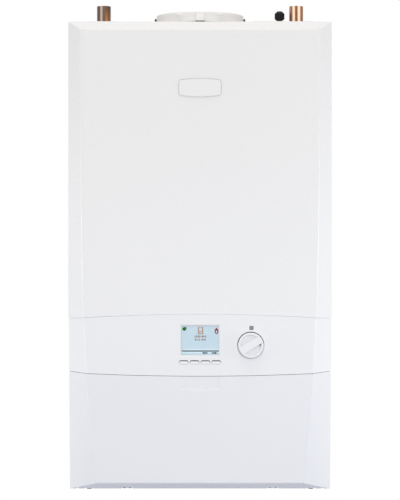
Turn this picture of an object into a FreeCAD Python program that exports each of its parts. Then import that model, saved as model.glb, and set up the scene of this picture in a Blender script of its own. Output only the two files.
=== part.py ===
import FreeCAD, Part
import math
import os

# Wall-hung heat-only gas boiler. Millimetres, +Z up, the front looks along -Y, the wall is the plane y = 0.
# Heights below are measured from the bottom of the casing. Each solid is lowered by FIXING_HEIGHT when it
# is written, so that the origin is the middle of the two wall fixing holes.

# Casing
CASE_WIDTH = 395.0
CASE_HEIGHT = 700.0
CASE_DEPTH = 278.0
STEEL = 1.2
PLASTIC = 2.5
WALL_CLEARANCE = 1.0
BACK_STAND_OFF = 12.0
FLANGE_WIDTH = 14.0
SEAT_GAP = 0.3
SHEET_GAP = 0.3

# Bevelled front form: how far it stands ahead of the side panels, and how its faces slope
BEVEL_DEPTH = 38.0
BEVEL_TOP_DROP = 15.4
BEVEL_FOOT_RISE = 12.2
FACE_SET_IN = 27.0
STRIP_SLOPE = 0.25
FLANK_SET_IN = 20.4
FLANK_SET_IN_MID = 21.9
FLANK_SET_IN_FOOT = 25.3
FLANK_BEND = 660.0
FLANK_MID = 455.0
FLANK_FOOT = 250.0
LOWER_SET_IN = 0.7
LOWER_SET_IN_FOOT = 2.7
LOWER_FACE_SET_IN = 26.3
LOWER_FACE_SET_IN_MID = 32.2
LOWER_FACE_SET_IN_FOOT = 43.5
TAPER_TOP = 266.0
TAPER_MID = 136.0
EDGE_ROUND = 2.0
EDGE_ZONE = 3.0
SIDE_SET_IN = 2.8
SIDE_EDGE_ROUND = 1.0

# Arched lines where the front panel, the fascia and the door meet
FASCIA_TOP_SIDE = 255.5
FASCIA_TOP_MID = 262.5
DOOR_TOP_SIDE = 176.2
DOOR_TOP_MID = 170.8
PANEL_GAP_SIDE = 0.5
PANEL_GAP_MID = 0.2
DOOR_GAP = 0.6
TONGUE_RISE = 3.0
PANEL_LIP_SIDE = 5.7
PANEL_LIP_TOP = 3.5
RIM_DEPTH = 20.0

# Wall bracket and the rail that hooks over it
FIXING_HEIGHT = 640.0
FIXING_PITCH = 210.0
FIXING_HOLE_RADIUS = 4.0
BRACKET_WIDTH = 300.0
BRACKET_HALF_HEIGHT = 20.0
BRACKET_STEEL = 2.0
BRACKET_LIP_REACH = 8.0
BRACKET_LIP_RISE = 12.0
HOOK_WIDTH = 260.0
HOOK_STEEL = 1.5
HOOK_LIP_GAP = 1.0
RIB_WIDTH = 26.0
RIB_X = 120.0
RIB_LOW = 60.0
RIB_HIGH = 560.0

# Chassis sheets
FLOOR_HEIGHT = 1.0
FLOOR_TAB_REACH = 40.0
FLOOR_TAB_DEPTH = 20.0
CHAMBER_FLOOR_HEIGHT = 266.0
COVER_SEAL_WIDTH = 7.0
COVER_SEAL_THICKNESS = 2.0
COVER_SEAL_INSET = 6.3
COVER_SEAL_MARGIN = 3.5
COVER_EDGE = 1.5
COVER_PRESSING_WIDTH = 250.0
COVER_PRESSING_HEIGHT = 300.0
COVER_PRESSING_DEPTH = 6.0
COVER_PRESSING_ROUND = 7.0
TOP_FLANGE = 14.0

# Flow and return pipes, 22 mm copper
PIPE_RADIUS = 11.0
PIPE_BORE_RADIUS = 10.1
PIPE_INSET = 45.1
PIPE_Y = -75.0
PIPE_TOP = 743.4
PIPE_BEND = 24.0
PIPE_MARK_HEIGHT = 708.0
PIPE_MARK_WIDTH = 1.5
PIPE_MARK_DEPTH = 0.3
SEAL_PLATE_THICKNESS = 1.2
SEAL_PLATE_FRONT = -234.0
SEAL_PLATE_REAR = -40.0
RETURN_PLATE_REACH = 27.0
FLOW_PLATE_REACH = 72.0
SEAL_PLATE_INSET = 28.0
PLATE_OVERLAP = 5.0
GROMMET_RADIUS = 17.0
GROMMET_NECK_RADIUS = 14.5
GROMMET_HEIGHT = 4.0
GROMMET_FIT = 0.2

# Automatic air vent beside the flow pipe
VENT_SPACING = 26.2
VENT_ARM_HEIGHT = 640.0
VENT_ARM_THICKNESS = 20.0
VENT_CLAMP_RADIUS = 15.5
VENT_BODY_RADIUS = 10.0
VENT_BODY_TOP = 690.0
VENT_NECK_RADIUS = 4.0
VENT_SHOULDER_HEIGHT = 721.2
VENT_STEM_RADIUS = 3.0
VENT_STEM_LENGTH = 10.0
VENT_CAP_RADIUS = 7.8
VENT_CAP_HEIGHT = 14.2
VENT_CAP_CHAMFER = 3.8
VENT_CAP_FOOT_CHAMFER = 2.2
VENT_CAP_GROOVES = 18
VENT_CAP_GROOVE_RADIUS = 0.6
RUNNING_FIT = 0.05

# Flue collar on the top and the exhaust riser inside it
FLUE_Y = -140.0
FLUE_DUCT_FIT = 0.3
AIR_DUCT_RADIUS = 50.0
EXHAUST_DUCT_RADIUS = 30.0
COLLAR_RADIUS = 67.5
COLLAR_WAIST_RADIUS = 66.0
COLLAR_RISE = 19.5
COLLAR_WALL = 3.0
COLLAR_ROUND = 1.0
COLLAR_BAND = 1.5
COLLAR_FLARE = 7.0
COLLAR_NECK_DROP = 15.0
COLLAR_FLANGE_RADIUS = 80.0
COLLAR_FLANGE_THICKNESS = 2.0
LUG_WIDTH = 12.5
LUG_REACH = 5.0
LUG_ROUND = 4.0
LUG_GROOVE = 1.2
LUG_GROOVE_DEPTH = 0.7
LUG_SLOT_TALL = 3.0
LUG_SLOT_DEPTH = 2.4
PAD_WIDTH = 10.0
PAD_HEIGHT = 3.0
PAD_DEPTH = 3.0
PAD_SPREAD = 30.4
FLUE_SCREW_HEIGHT = 13.5
FLUE_SCREW_RADIUS = 1.2
FLUE_SCREW_HEAD_RADIUS = 2.2
FLUE_SCREW_HEAD = 3.0
FLUE_SCREW_SEAT = 67.2
FLUE_SCREW_BOSS_RADIUS = 2.4
RISER_WALL = 4.0
RISER_DROP = 2.0
RISER_SOCKET_DEPTH = 36.0
RISER_STEP = 2.2
SEAL_HEIGHT = 4.0
SEAL_RADIAL = 1.6
SEAL_SLACK = 0.8

# Drum heat exchanger, lying front to back
DRUM_HEIGHT = 485.0
DRUM_RADIUS = 112.0
DRUM_WALL = 4.0
DRUM_FRONT = -180.0
DRUM_REAR = -40.0
DRUM_FLANGE_RADIUS = 120.0
DRUM_FLANGE = 6.0
SPIGOT_RADIUS = 34.0
SPIGOT_WALL = 3.0
SPIGOT_TOP = 640.0
DRAIN_Y = -90.0
DRAIN_RADIUS = 12.0
DRAIN_WALL = 3.0
DRAIN_LENGTH = 25.0
BOSS_RADIUS = 16.0
BOSS_PROUD = 2.5
BOSS_OFFSET = 70.0
NUT_LENGTH = 14.0
NUT_FLATS = 32.0
NUT_FIT = 0.2
SENSOR_TALL = 14.0
SENSOR_REACH = 14.0
SENSOR_WIDTH = 10.0
SENSOR_CLIP = 1.2
COIL_INNER = 68.0
COIL_OUTER = 96.0
COIL_TURNS = 8
COIL_PITCH = 14.0
COIL_CREST = 3.5
RAIL_WIDTH = 200.0
RAIL_HEIGHT = 24.0
RAIL_OFFSET = 62.0
RAIL_FOOT_INSET = 24.0

# Burner, its door and the electrodes
BURNER_DOOR_RADIUS = 118.0
BURNER_DOOR = 8.0
BURNER_PORT_RADIUS = 30.0
BURNER_RADIUS = 33.0
BURNER_WALL = 1.5
BURNER_LENGTH = 86.0
BURNER_FLANGE_RADIUS = 38.0
DOOR_NUT_COUNT = 6
DOOR_NUT_CIRCLE = 111.0
DOOR_NUT_FLATS = 10.0
DOOR_NUT_HEIGHT = 6.0
ELECTRODE_RADIUS = 4.0
ELECTRODE_OUT = 18.0
ELECTRODE_IN = 10.0
ELECTRODE_PLATE = 2.0
ELECTRODE_PLATE_WIDTH = 18.0
ELECTRODE_PLATE_TALL = 9.0
ELECTRODE_PLACES = ((46.0, 52.0), (64.0, 26.0))

# Fan, air inlet and the duct that carries the mixture to the burner door
FAN_X = -120.0
FAN_HEIGHT = 345.0
FAN_RADIUS = 50.0
FAN_WALL = 3.0
FAN_FRONT = -212.0
FAN_REAR = -172.0
FAN_EYE_RADIUS = 20.0
FAN_NECK_LEFT = 40.0
FAN_NECK_RIGHT = 2.0
IMPELLER_RADIUS = 40.0
IMPELLER_HUB_RADIUS = 8.0
IMPELLER_DISC = 2.0
IMPELLER_BLADES = 12
IMPELLER_BLADE_WIDTH = 22.0
IMPELLER_BLADE = 1.6
IMPELLER_GAP = 3.0
FAN_SHAFT_RADIUS = 3.0
FAN_MOTOR_RADIUS = 30.0
FAN_MOTOR_LENGTH = 20.0
FAN_SHAFT_END = 4.0
DUCT_FLOOR = 398.0
DUCT_DEPTH = 34.0
DUCT_WALL = 2.5
DUCT_HUB_RADIUS = 44.0
DUCT_SHOULDER = 446.0
DUCT_CORNER_DROP = 3.0
VENTURI_RADIUS = 28.0
VENTURI_LENGTH = 47.0
VENTURI_THROAT_RADIUS = 16.0
VENTURI_MOUTH = 15.6
VENTURI_PORT_RADIUS = 11.0
VENTURI_PORT_REACH = 36.0

# Gas run
GAS_X = 100.0
GAS_Y = -150.0
GAS_PIPE_RADIUS = 7.5
GAS_PIPE_BORE_RADIUS = 6.8
GAS_PIPE_BEND = 30.0
GAS_VALVE_WIDTH = 60.0
GAS_VALVE_DEPTH = 70.0
GAS_VALVE_LOW = 95.0
GAS_VALVE_HIGH = 170.0
GAS_SOLENOID_RADIUS = 16.0
GAS_SOLENOID_LENGTH = 30.0
GAS_SPIGOT_RADIUS = 10.0
COCK_LOW = -8.0
COCK_HIGH = 70.0
COCK_RADIUS = 13.0
COCK_NUT_FLATS = 30.0
COCK_NUT_HEIGHT = 16.0
COCK_SOCKET_DEPTH = 25.0
COCK_SOCKET_FIT = 0.1
LEVER_HEIGHT = 36.0
LEVER_SPINDLE_RADIUS = 4.0
LEVER_SPINDLE_DEPTH = 10.0
LEVER_HUB_RADIUS = 8.0
LEVER_HUB = 8.0
LEVER_LENGTH = 42.0
LEVER_WIDTH = 9.0
LEVER_THICKNESS = 4.0
SPARK_BOX_WIDTH = 40.0
SPARK_BOX_FRONT = -170.0
SPARK_BOX_REAR = -110.0
SPARK_BOX_LOW = 300.0
SPARK_BOX_HIGH = 360.0

# Condensate trap and its outlet, 21.5 mm plastic
TRAP_RADIUS = 30.0
TRAP_LOW = 60.0
TRAP_HIGH = 230.0
TRAP_CUP_RADIUS = 33.0
TRAP_CUP_HEIGHT = 34.0
TRAP_OUTLET_HEIGHT = 205.0
TRAP_OUTLET_RADIUS = 13.0
TRAP_OUTLET_REACH = 50.0
WASTE_X = -80.0
WASTE_RADIUS = 10.75
WASTE_BORE_RADIUS = 9.0
WASTE_BEND = 25.0
WASTE_END = -14.0
WASTE_MARK_HEIGHT = 14.0

# Cable entry in the floor
GLAND_INSET = 57.5
GLAND_Y = -120.0
GLAND_BORE_RADIUS = 4.0
GLAND_THREAD_RADIUS = 8.0
GLAND_THREAD = 8.0
GLAND_FLATS = 22.0
GLAND_HEX = 6.0
GLAND_DOME_RADIUS = 9.0
GLAND_DOME = 7.0
HOLE_CLEARANCE = 2.5
FLOOR_SCREW_INSET = 31.0
FLOOR_SCREW_SET_BACK = 4.5
SCREW_RADIUS = 2.0
SCREW_HEAD_RADIUS = 4.0
SCREW_HEAD = 2.2
SCREW_LENGTH = 9.0
SCREW_FIT = 0.1

# Control box behind the fascia
BOX_WIDTH = 300.0
BOX_LOW = 186.0
BOX_HIGH = 246.0
BOX_FRONT = -262.0
BOX_REAR = -172.0
BOX_FLANGE = 5.0
BOX_BRACKET_HEIGHT = 214.0
BOX_BRACKET_FRONT = -230.0
BOX_BRACKET_REAR = -190.0
BOX_BRACKET_TAB = 20.0
BOARD = 1.6
BOARD_POST_RADIUS = 3.0
MAIN_BOARD_POST = 4.0
MAIN_BOARD_MARGIN = 12.0
MAIN_BOARD_POST_INSET = 6.0
TRANSFORMER_X = -102.0
TRANSFORMER_WIDTH = 35.0
TRANSFORMER_DEPTH = 30.0
TRANSFORMER_TALL = 28.0
RELAY_COUNT = 3
RELAY_X = -53.0
RELAY_PITCH = 18.0
RELAY_WIDTH = 14.0
RELAY_DEPTH = 20.0
RELAY_TALL = 16.0
CAPACITOR_COUNT = 3
CAPACITOR_X = 4.0
CAPACITOR_PITCH = 14.0
CAPACITOR_RADIUS = 5.0
CAPACITOR_TALL = 20.0
TERMINAL_X = 100.0
TERMINAL_WIDTH = 60.0
TERMINAL_DEPTH = 16.0
TERMINAL_TALL = 16.0
POST_RADIUS = 4.0
POST_INSET = 8.0
POST_LOW = 190.5
POST_HIGH = 241.5

# Display, buttons and knob on the fascia
DISPLAY_HEIGHT = 223.8
DISPLAY_WIDTH = 56.0
DISPLAY_TALL = 43.4
DISPLAY_FIT = 0.3
DISPLAY_RECESS = 0.9
DISPLAY_SLOPE = 1.4
WINDOW_THICKNESS = 1.8
MODULE_BORDER = 3.5
INTERFACE_FRONT = -266.0
INTERFACE_LEFT = -60.0
INTERFACE_RIGHT = 112.0
INTERFACE_LOW = 189.0
INTERFACE_HIGH = 246.0
INTERFACE_POSTS = ((-53.0, 194.0), (-53.0, 240.0), (105.0, 194.0), (105.0, 240.0))
BUTTON_COUNT = 4
BUTTON_SPACE = 3.3
BUTTON_WIDTH = 12.7
BUTTON_TALL = 3.7
BUTTON_HEIGHT = 190.95
BUTTON_ROUND = 1.4
BUTTON_OPENING_ROUND = 2.2
BUTTON_PROUD = 0.6
BUTTON_SIDE_GAP = 0.5
BUTTON_TOP_GAP = 1.5
BUTTON_FOOT_GAP = 0.35
BUTTON_REAR = 8.0
BUTTON_FLANGE_OVERLAP = 0.6
BUTTON_FLANGE = 1.2
BUTTON_TRAVEL = 1.0
BUTTON_STOP_GAP = 0.2
SWITCH_SIZE = 5.0
KNOB_X = 75.1
KNOB_HEIGHT = 216.6
KNOB_RADIUS = 18.8
KNOB_PROUD = 7.5
KNOB_SINK = 1.6
KNOB_ROUND = 1.6
KNOB_BAR_WIDTH = 9.9
KNOB_POCKET_RADIUS = 16.2
KNOB_POCKET_DEPTH = 3.0
KNOB_POCKET_DRAFT = 2.4
KNOB_ANGLE = 31.0
KNOB_STEM_RADIUS = 3.0
KNOB_STEM_LENGTH = 8.0
KNOB_RING_WIDTH = 0.7
KNOB_RING_GAP = 0.35
KNOB_RING_SET_BACK = 0.5
ENCODER_SIZE = 16.0
ENCODER_LENGTH = 8.5

# Lower door, its hinges, pull and catches
HINGE_X = 109.0
HINGE_HEIGHT = 4.8
HINGE_SET_BACK = 3.0
HINGE_PIN_RADIUS = 1.5
HINGE_EAR_RADIUS = 4.0
HINGE_EAR = 4.0
HINGE_EAR_SPACE = 5.0
HINGE_SIDE_FIT = 0.3
HINGE_LUG_RADIUS = 3.8
HINGE_LUG_REACH = 22.0
HINGE_PLATE_LENGTH = 24.0
HINGE_PLATE = 2.0
HINGE_NOTCH = 1.8
HINGE_NOTCH_REACH = 8.0
FOOT_SLOT_INSETS = (14.0, 25.7, 36.1)
FOOT_SLOT_WIDTH = 3.0
FOOT_SLOT_REACH = 5.0
FOOT_NOTCH_RADIUS = 2.4
PULL_HALF_WIDTH = 29.5
PULL_LOW = 151.5
PULL_SAG = 2.0
PULL_DEPTH = 0.6
PULL_FOOT_SLOPE = 1.6
PULL_SIDE_SLOPE = 1.0
PULL_BACKING = 4.0
PULL_CORNER = 2.5
CATCH_HEIGHT = 155.0
CATCH_TALL = 14.0
CATCH_WIDTH = 5.0
CATCH_THICKNESS = 4.0
STRIKE_THICKNESS = 1.4
STRIKE_WIDTH = 4.5

# Blank badge on the front panel
BADGE_WIDTH = 64.0
BADGE_TALL = 29.0
BADGE_HEIGHT = 598.0
BADGE_THICKNESS = 1.2
BADGE_ROUND = 3.0

# Planes and edges that several pieces share
FACE = -CASE_DEPTH
BEVEL_PLANE = FACE + BEVEL_DEPTH
FACE_HALF = CASE_WIDTH / 2 - FACE_SET_IN
FLANK_HALF = CASE_WIDTH / 2 - FLANK_SET_IN
FLANK_HALF_MID = CASE_WIDTH / 2 - FLANK_SET_IN_MID
FLANK_HALF_FOOT = CASE_WIDTH / 2 - FLANK_SET_IN_FOOT
LOWER_FACE_HALF = CASE_WIDTH / 2 - LOWER_FACE_SET_IN
LOWER_FACE_HALF_MID = CASE_WIDTH / 2 - LOWER_FACE_SET_IN_MID
LOWER_FACE_HALF_FOOT = CASE_WIDTH / 2 - LOWER_FACE_SET_IN_FOOT
FLANGE_FRONT = BEVEL_PLANE + SEAT_GAP
SIDE_OUTER = CASE_WIDTH / 2 - SIDE_SET_IN
SIDE_INNER = SIDE_OUTER - STEEL
FLANGE_INNER = CASE_WIDTH / 2 - FLANGE_WIDTH
BACK_REAR = -BACK_STAND_OFF
BACK_FRONT = BACK_REAR - STEEL
ROOF = CASE_HEIGHT - STEEL
FLOOR_TOP = FLOOR_HEIGHT + STEEL
CHAMBER_FLOOR_TOP = CHAMBER_FLOOR_HEIGHT + STEEL
FASCIA_INNER = FACE + PLASTIC
PIPE_X = CASE_WIDTH / 2 - PIPE_INSET
VENT_X = PIPE_X - VENT_SPACING
RETURN_PLATE_INNER = PIPE_X - RETURN_PLATE_REACH
FLOW_PLATE_INNER = PIPE_X - FLOW_PLATE_REACH
PLATE_TOP = CASE_HEIGHT + SEAL_PLATE_THICKNESS
HINGE_Y = BEVEL_PLANE - HINGE_SET_BACK
DOOR_SWEEP = math.hypot(HINGE_SET_BACK, HINGE_HEIGHT) + HOLE_CLEARANCE
FLOOR_FRONT = HINGE_Y + DOOR_SWEEP
FLOOR_SCREW_X = CASE_WIDTH / 2 - FLOOR_SCREW_INSET
FLOOR_SCREW_Y = FLOOR_FRONT + FLOOR_SCREW_SET_BACK
GLAND_X = GLAND_INSET - CASE_WIDTH / 2
SEAL_PLATE_OUTER = CASE_WIDTH / 2 - SEAL_PLATE_INSET
POST_X = BOX_WIDTH / 2 - POST_INSET
BUTTON_PITCH = BUTTON_WIDTH + BUTTON_SPACE
BURNER_DOOR_REAR = DRUM_FRONT - DRUM_FLANGE
BURNER_DOOR_FRONT = BURNER_DOOR_REAR - BURNER_DOOR
DRAIN_FOOT = DRUM_HEIGHT - DRUM_RADIUS - DRAIN_LENGTH
COCK_FACE = GAS_Y - COCK_RADIUS
BOSS_REACH = math.sqrt(DRUM_RADIUS ** 2 - (BOSS_OFFSET - NUT_FLATS / math.sqrt(3)) ** 2) + BOSS_PROUD
COLLAR_TOP = CASE_HEIGHT + COLLAR_RISE
COLLAR_NECK_FOOT = CASE_HEIGHT - COLLAR_NECK_DROP
RISER_TOP = COLLAR_NECK_FOOT - RISER_DROP
AIR_SOCKET_RADIUS = AIR_DUCT_RADIUS + FLUE_DUCT_FIT
EXHAUST_SOCKET_RADIUS = EXHAUST_DUCT_RADIUS + FLUE_DUCT_FIT
RISER_RADIUS = EXHAUST_SOCKET_RADIUS + RISER_WALL
ALONG_X = FreeCAD.Vector(1, 0, 0)
ALONG_Y = FreeCAD.Vector(0, 1, 0)
ALONG_Z = FreeCAD.Vector(0, 0, 1)


# Shape helpers

def block(x0, x1, y0, y1, z0, z1):
    return Part.makeBox(x1 - x0, y1 - y0, z1 - z0, FreeCAD.Vector(x0, y0, z0))


def rod_x(radius, x0, x1, y, z):
    return Part.makeCylinder(radius, x1 - x0, FreeCAD.Vector(x0, y, z), ALONG_X)


def rod_y(radius, y0, y1, x, z):
    return Part.makeCylinder(radius, y1 - y0, FreeCAD.Vector(x, y0, z), ALONG_Y)


def rod_z(radius, z0, z1, x, y):
    return Part.makeCylinder(radius, z1 - z0, FreeCAD.Vector(x, y, z0), ALONG_Z)


def face_of(points):
    return Part.Face(Part.makePolygon(points + points[:1]))


def inset_face(points, inset):
    face = face_of(points)
    if inset == 0:
        return face
    return face.makeOffset2D(-inset, 2)


def hexagon(flats, middle, across, up):
    corner = flats / math.sqrt(3)
    points = []
    for step in range(6):
        angle = math.radians(60 * step)
        points.append(middle + across * (corner * math.cos(angle)) + up * (corner * math.sin(angle)))
    return face_of(points)


def rounded_plate(x, z, width, tall, corner, y0, y1):
    plate = block(x - width / 2, x + width / 2, y0, y1, z - tall / 2, z + tall / 2)
    upright = [edge for edge in plate.Edges if edge.Vertexes[0].Y != edge.Vertexes[1].Y]
    return plate.makeFillet(corner, upright)


def tube_along(points, bend, radius):
    """A round bar along straight runs joined by arcs of one bend radius."""
    edges = []
    start = points[0]
    for before, corner, after in zip(points, points[1:], points[2:]):
        inward = (before - corner).normalize()
        outward = (after - corner).normalize()
        half = inward.getAngle(outward) / 2
        reach = bend / math.tan(half)
        first = corner + inward * reach
        last = corner + outward * reach
        bisector = (inward + outward).normalize()
        middle = corner + bisector * (bend / math.sin(half) - bend)
        edges.append(Part.makeLine(start, first))
        edges.append(Part.Arc(first, middle, last).toShape())
        start = last
    edges.append(Part.makeLine(start, points[-1]))
    direction = points[1] - points[0]
    ring = Part.Wire(Part.makeCircle(radius, points[0], direction))
    return Part.Wire(edges).makePipeShell([ring], True, False)


def mark_ring(radius, height, x, y):
    """Shallow ring cut from an upright pipe: its depth mark."""
    ring = rod_z(radius + PIPE_MARK_DEPTH, height, height + PIPE_MARK_WIDTH, x, y)
    return ring.cut(rod_z(radius - PIPE_MARK_DEPTH, height, height + PIPE_MARK_WIDTH, x, y))


def mirrored(shape):
    return shape.mirror(FreeCAD.Vector(0, 0, 0), ALONG_X)


def write(name, *shapes):
    solids = []
    for shape in shapes:
        solids.extend(shape.Solids)
    group = Part.makeCompound(solids) if len(solids) > 1 else solids[0]
    group.translate(FreeCAD.Vector(0, 0, -FIXING_HEIGHT))
    group.exportStep("parts/" + name + ".step")


# Front form of the casing

def bowed_wire(y, top, bend, mid, foot):
    """Closed outline at one depth: level top and foot, sides straight down to a bend and below it bowed
    through a middle point, or straight where there is none. Each level is a half width and a height."""
    right = [FreeCAD.Vector(half, y, height) for half, height in (top, bend, foot)]
    left = [FreeCAD.Vector(-half, y, height) for half, height in (top, bend, foot)]
    if mid is None:
        right_side = Part.makeLine(right[1], right[2])
        left_side = Part.makeLine(left[2], left[1])
    else:
        right_side = Part.Arc(right[1], FreeCAD.Vector(mid[0], y, mid[1]), right[2]).toShape()
        left_side = Part.Arc(left[2], FreeCAD.Vector(-mid[0], y, mid[1]), left[1]).toShape()
    return Part.Wire([Part.makeLine(left[0], right[0]), Part.makeLine(right[0], right[1]), right_side,
                      Part.makeLine(right[2], left[2]), left_side, Part.makeLine(left[1], left[0])])


def inset_steps(inset, slope):
    """How far an edge of a sloped wall moves at its rear and at the face for an inset of the whole form."""
    rear_step = inset * math.hypot(1, slope)
    return rear_step, rear_step - inset * slope


def upper_form(inset):
    """Front panel form: a flat face, a turned strip that narrows downwards, and bevelled sides and top."""
    side_in, face_in = inset_steps(inset, FLANK_SET_IN / BEVEL_DEPTH)
    top_in, face_top_in = inset_steps(inset, BEVEL_TOP_DROP / BEVEL_DEPTH)
    half = CASE_WIDTH / 2 - side_in
    front_half = FLANK_HALF - face_in
    rear = bowed_wire(BEVEL_PLANE, (half, CASE_HEIGHT - top_in), (half, FLANK_BEND), None, (half, FLANK_FOOT))
    front = bowed_wire(FACE + inset, (front_half, CASE_HEIGHT - BEVEL_TOP_DROP - face_top_in),
                       (front_half, FLANK_BEND), (FLANK_HALF_MID - face_in, FLANK_MID),
                       (FLANK_HALF_FOOT - face_in, FLANK_FOOT))
    turned = FACE + (CASE_WIDTH - FACE_HALF) * STRIP_SLOPE
    across = [(-CASE_WIDTH, 0), (-CASE_WIDTH, turned), (-FACE_HALF, FACE), (FACE_HALF, FACE),
              (CASE_WIDTH, turned), (CASE_WIDTH, 0)]
    plan = inset_face([FreeCAD.Vector(x, y, 0) for x, y in across], inset)
    return Part.makeLoft([rear, front], True, True).common(plan.extrude(ALONG_Z * CASE_HEIGHT))


def lower_form(inset):
    """Fascia and door form: it narrows slightly downwards, with bevelled sides that widen and a bevelled foot."""
    half = CASE_WIDTH / 2 - LOWER_SET_IN
    side_in, face_in = inset_steps(inset, (half - LOWER_FACE_HALF) / BEVEL_DEPTH)
    foot_in, face_foot_in = inset_steps(inset, BEVEL_FOOT_RISE / BEVEL_DEPTH)
    top = TAPER_TOP + FLANGE_WIDTH
    half = half - side_in
    front_half = LOWER_FACE_HALF - face_in
    foot_half = CASE_WIDTH / 2 - LOWER_SET_IN_FOOT - side_in
    rear = bowed_wire(BEVEL_PLANE, (half, top), (half, TAPER_TOP), None, (foot_half, foot_in))
    front = bowed_wire(FACE + inset, (front_half, top), (front_half, TAPER_TOP),
                       (LOWER_FACE_HALF_MID - face_in, TAPER_MID),
                       (LOWER_FACE_HALF_FOOT - face_in, BEVEL_FOOT_RISE + face_foot_in))
    return Part.makeLoft([rear, front], True, True)


def arch(side, mid):
    half = CASE_WIDTH / 2
    return Part.Arc(FreeCAD.Vector(-half, FACE, side), FreeCAD.Vector(0, FACE, mid),
                    FreeCAD.Vector(half, FACE, side)).toShape()


def level(height):
    half = CASE_WIDTH / 2
    return Part.makeLine(FreeCAD.Vector(-half, FACE, height), FreeCAD.Vector(half, FACE, height))


def band(low, high, depth):
    """Everything between two lines drawn on the front, carried back by a depth."""
    left = Part.makeLine(low.Vertexes[0].Point, high.Vertexes[0].Point)
    right = Part.makeLine(low.Vertexes[-1].Point, high.Vertexes[-1].Point)
    return Part.Face(Part.Wire(Part.__sortEdges__([low, right, high, left]))).extrude(ALONG_Y * depth)


def rounded_front(form):
    """Soften the edges around the flat face of a front form, and its mitres at the top."""
    mitre_foot = CASE_HEIGHT - 2 * BEVEL_TOP_DROP
    edges = []
    for edge in form.Edges:
        box = edge.BoundBox
        mitre = box.ZMin > mitre_foot and box.YLength > BEVEL_DEPTH / 2
        if mitre or box.YMax < FACE + EDGE_ZONE:
            edges.append(edge)
    return form.makeFillet(EDGE_ROUND, edges)


# Casing pieces

def front_panel():
    line = arch(FASCIA_TOP_SIDE + PANEL_GAP_SIDE / 2, FASCIA_TOP_MID + PANEL_GAP_MID / 2)
    area = band(line, level(CASE_HEIGHT), BEVEL_DEPTH)
    outer = rounded_front(upper_form(0))
    shell = outer.cut(upper_form(STEEL))
    inner = CASE_WIDTH / 2 - PANEL_LIP_SIDE
    lip = block(-CASE_WIDTH / 2, CASE_WIDTH / 2, BEVEL_PLANE - STEEL, BEVEL_PLANE, 0, CASE_HEIGHT)
    lip = lip.cut(block(-inner, inner, BEVEL_PLANE - STEEL, BEVEL_PLANE, 0, CASE_HEIGHT - PANEL_LIP_TOP))
    return shell.fuse(lip.common(outer)).common(area).removeSplitter()


def badge_plate():
    return rounded_plate(0, BADGE_HEIGHT, BADGE_WIDTH, BADGE_TALL, BADGE_ROUND, FACE - BADGE_THICKNESS, FACE)


def side_panel():
    sheet = block(SIDE_INNER, SIDE_OUTER, FLANGE_FRONT, -WALL_CLEARANCE, 0, CASE_HEIGHT)
    top_edges = [edge for edge in sheet.Edges
                 if edge.BoundBox.ZMin > ROOF and edge.BoundBox.XMin > SIDE_INNER + SIDE_EDGE_ROUND]
    sheet = sheet.makeFillet(SIDE_EDGE_ROUND, top_edges)
    flange = block(FLANGE_INNER, SIDE_INNER, FLANGE_FRONT, FLANGE_FRONT + STEEL, 0, ROOF)
    notch = block(FLANGE_INNER, SIDE_OUTER, FLANGE_FRONT, FLOOR_FRONT, 0, HINGE_HEIGHT + DOOR_SWEEP)
    tab = block(SIDE_INNER - FLOOR_TAB_REACH, SIDE_INNER, FLOOR_FRONT, FLOOR_FRONT + FLOOR_TAB_DEPTH, FLOOR_TOP,
                FLOOR_TOP + STEEL)
    hole = rod_z(SCREW_RADIUS + SCREW_FIT, FLOOR_TOP, FLOOR_TOP + STEEL, FLOOR_SCREW_X, FLOOR_SCREW_Y)
    return sheet.fuse(flange).cut(notch).fuse(tab).cut(hole).removeSplitter()


def back_panel():
    edge = SIDE_INNER - SHEET_GAP
    sheet = block(-edge, edge, BACK_FRONT, BACK_REAR, FLOOR_TOP, ROOF - SHEET_GAP)
    flange = block(edge - STEEL, edge, BACK_FRONT - FLANGE_WIDTH, BACK_FRONT, FLOOR_TOP, ROOF - SHEET_GAP)
    rib = block(RIB_X - RIB_WIDTH / 2, RIB_X + RIB_WIDTH / 2, BACK_REAR, -WALL_CLEARANCE, RIB_LOW, RIB_HIGH)
    web_top = FIXING_HEIGHT + BRACKET_HALF_HEIGHT + BRACKET_LIP_RISE + HOOK_STEEL
    leg_rear = -BRACKET_LIP_REACH + BRACKET_STEEL + HOOK_LIP_GAP + HOOK_STEEL
    half = HOOK_WIDTH / 2
    web = block(-half, half, BACK_REAR, leg_rear, web_top - HOOK_STEEL, web_top)
    leg_foot = FIXING_HEIGHT + BRACKET_HALF_HEIGHT + HOOK_LIP_GAP
    leg = block(-half, half, leg_rear - HOOK_STEEL, leg_rear, leg_foot, web_top)
    return sheet.fuse([flange, mirrored(flange), rib, mirrored(rib), web, leg]).removeSplitter()


def wall_bracket():
    low = FIXING_HEIGHT - BRACKET_HALF_HEIGHT
    high = FIXING_HEIGHT + BRACKET_HALF_HEIGHT
    half = BRACKET_WIDTH / 2
    plate = block(-half, half, -BRACKET_STEEL, 0, low, high)
    shelf = block(-half, half, -BRACKET_LIP_REACH, -BRACKET_STEEL, high - BRACKET_STEEL, high)
    lip = block(-half, half, -BRACKET_LIP_REACH, -BRACKET_LIP_REACH + BRACKET_STEEL, high,
                high + BRACKET_LIP_RISE)
    shape = plate.fuse([shelf, lip])
    for side in (-1, 1):
        hole = rod_y(FIXING_HOLE_RADIUS, -BRACKET_STEEL, 0, side * FIXING_PITCH / 2, FIXING_HEIGHT)
        shape = shape.cut(hole)
    return shape.removeSplitter()


def pipe_opening(side, inner, z0, z1):
    """Opening in the roof under one sealing plate."""
    low = inner + PLATE_OVERLAP
    high = SEAL_PLATE_OUTER - PLATE_OVERLAP
    opening = block(low, high, PIPE_Y - GROMMET_RADIUS - PLATE_OVERLAP, PIPE_Y + GROMMET_RADIUS, z0, z1)
    return opening if side > 0 else mirrored(opening)


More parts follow.
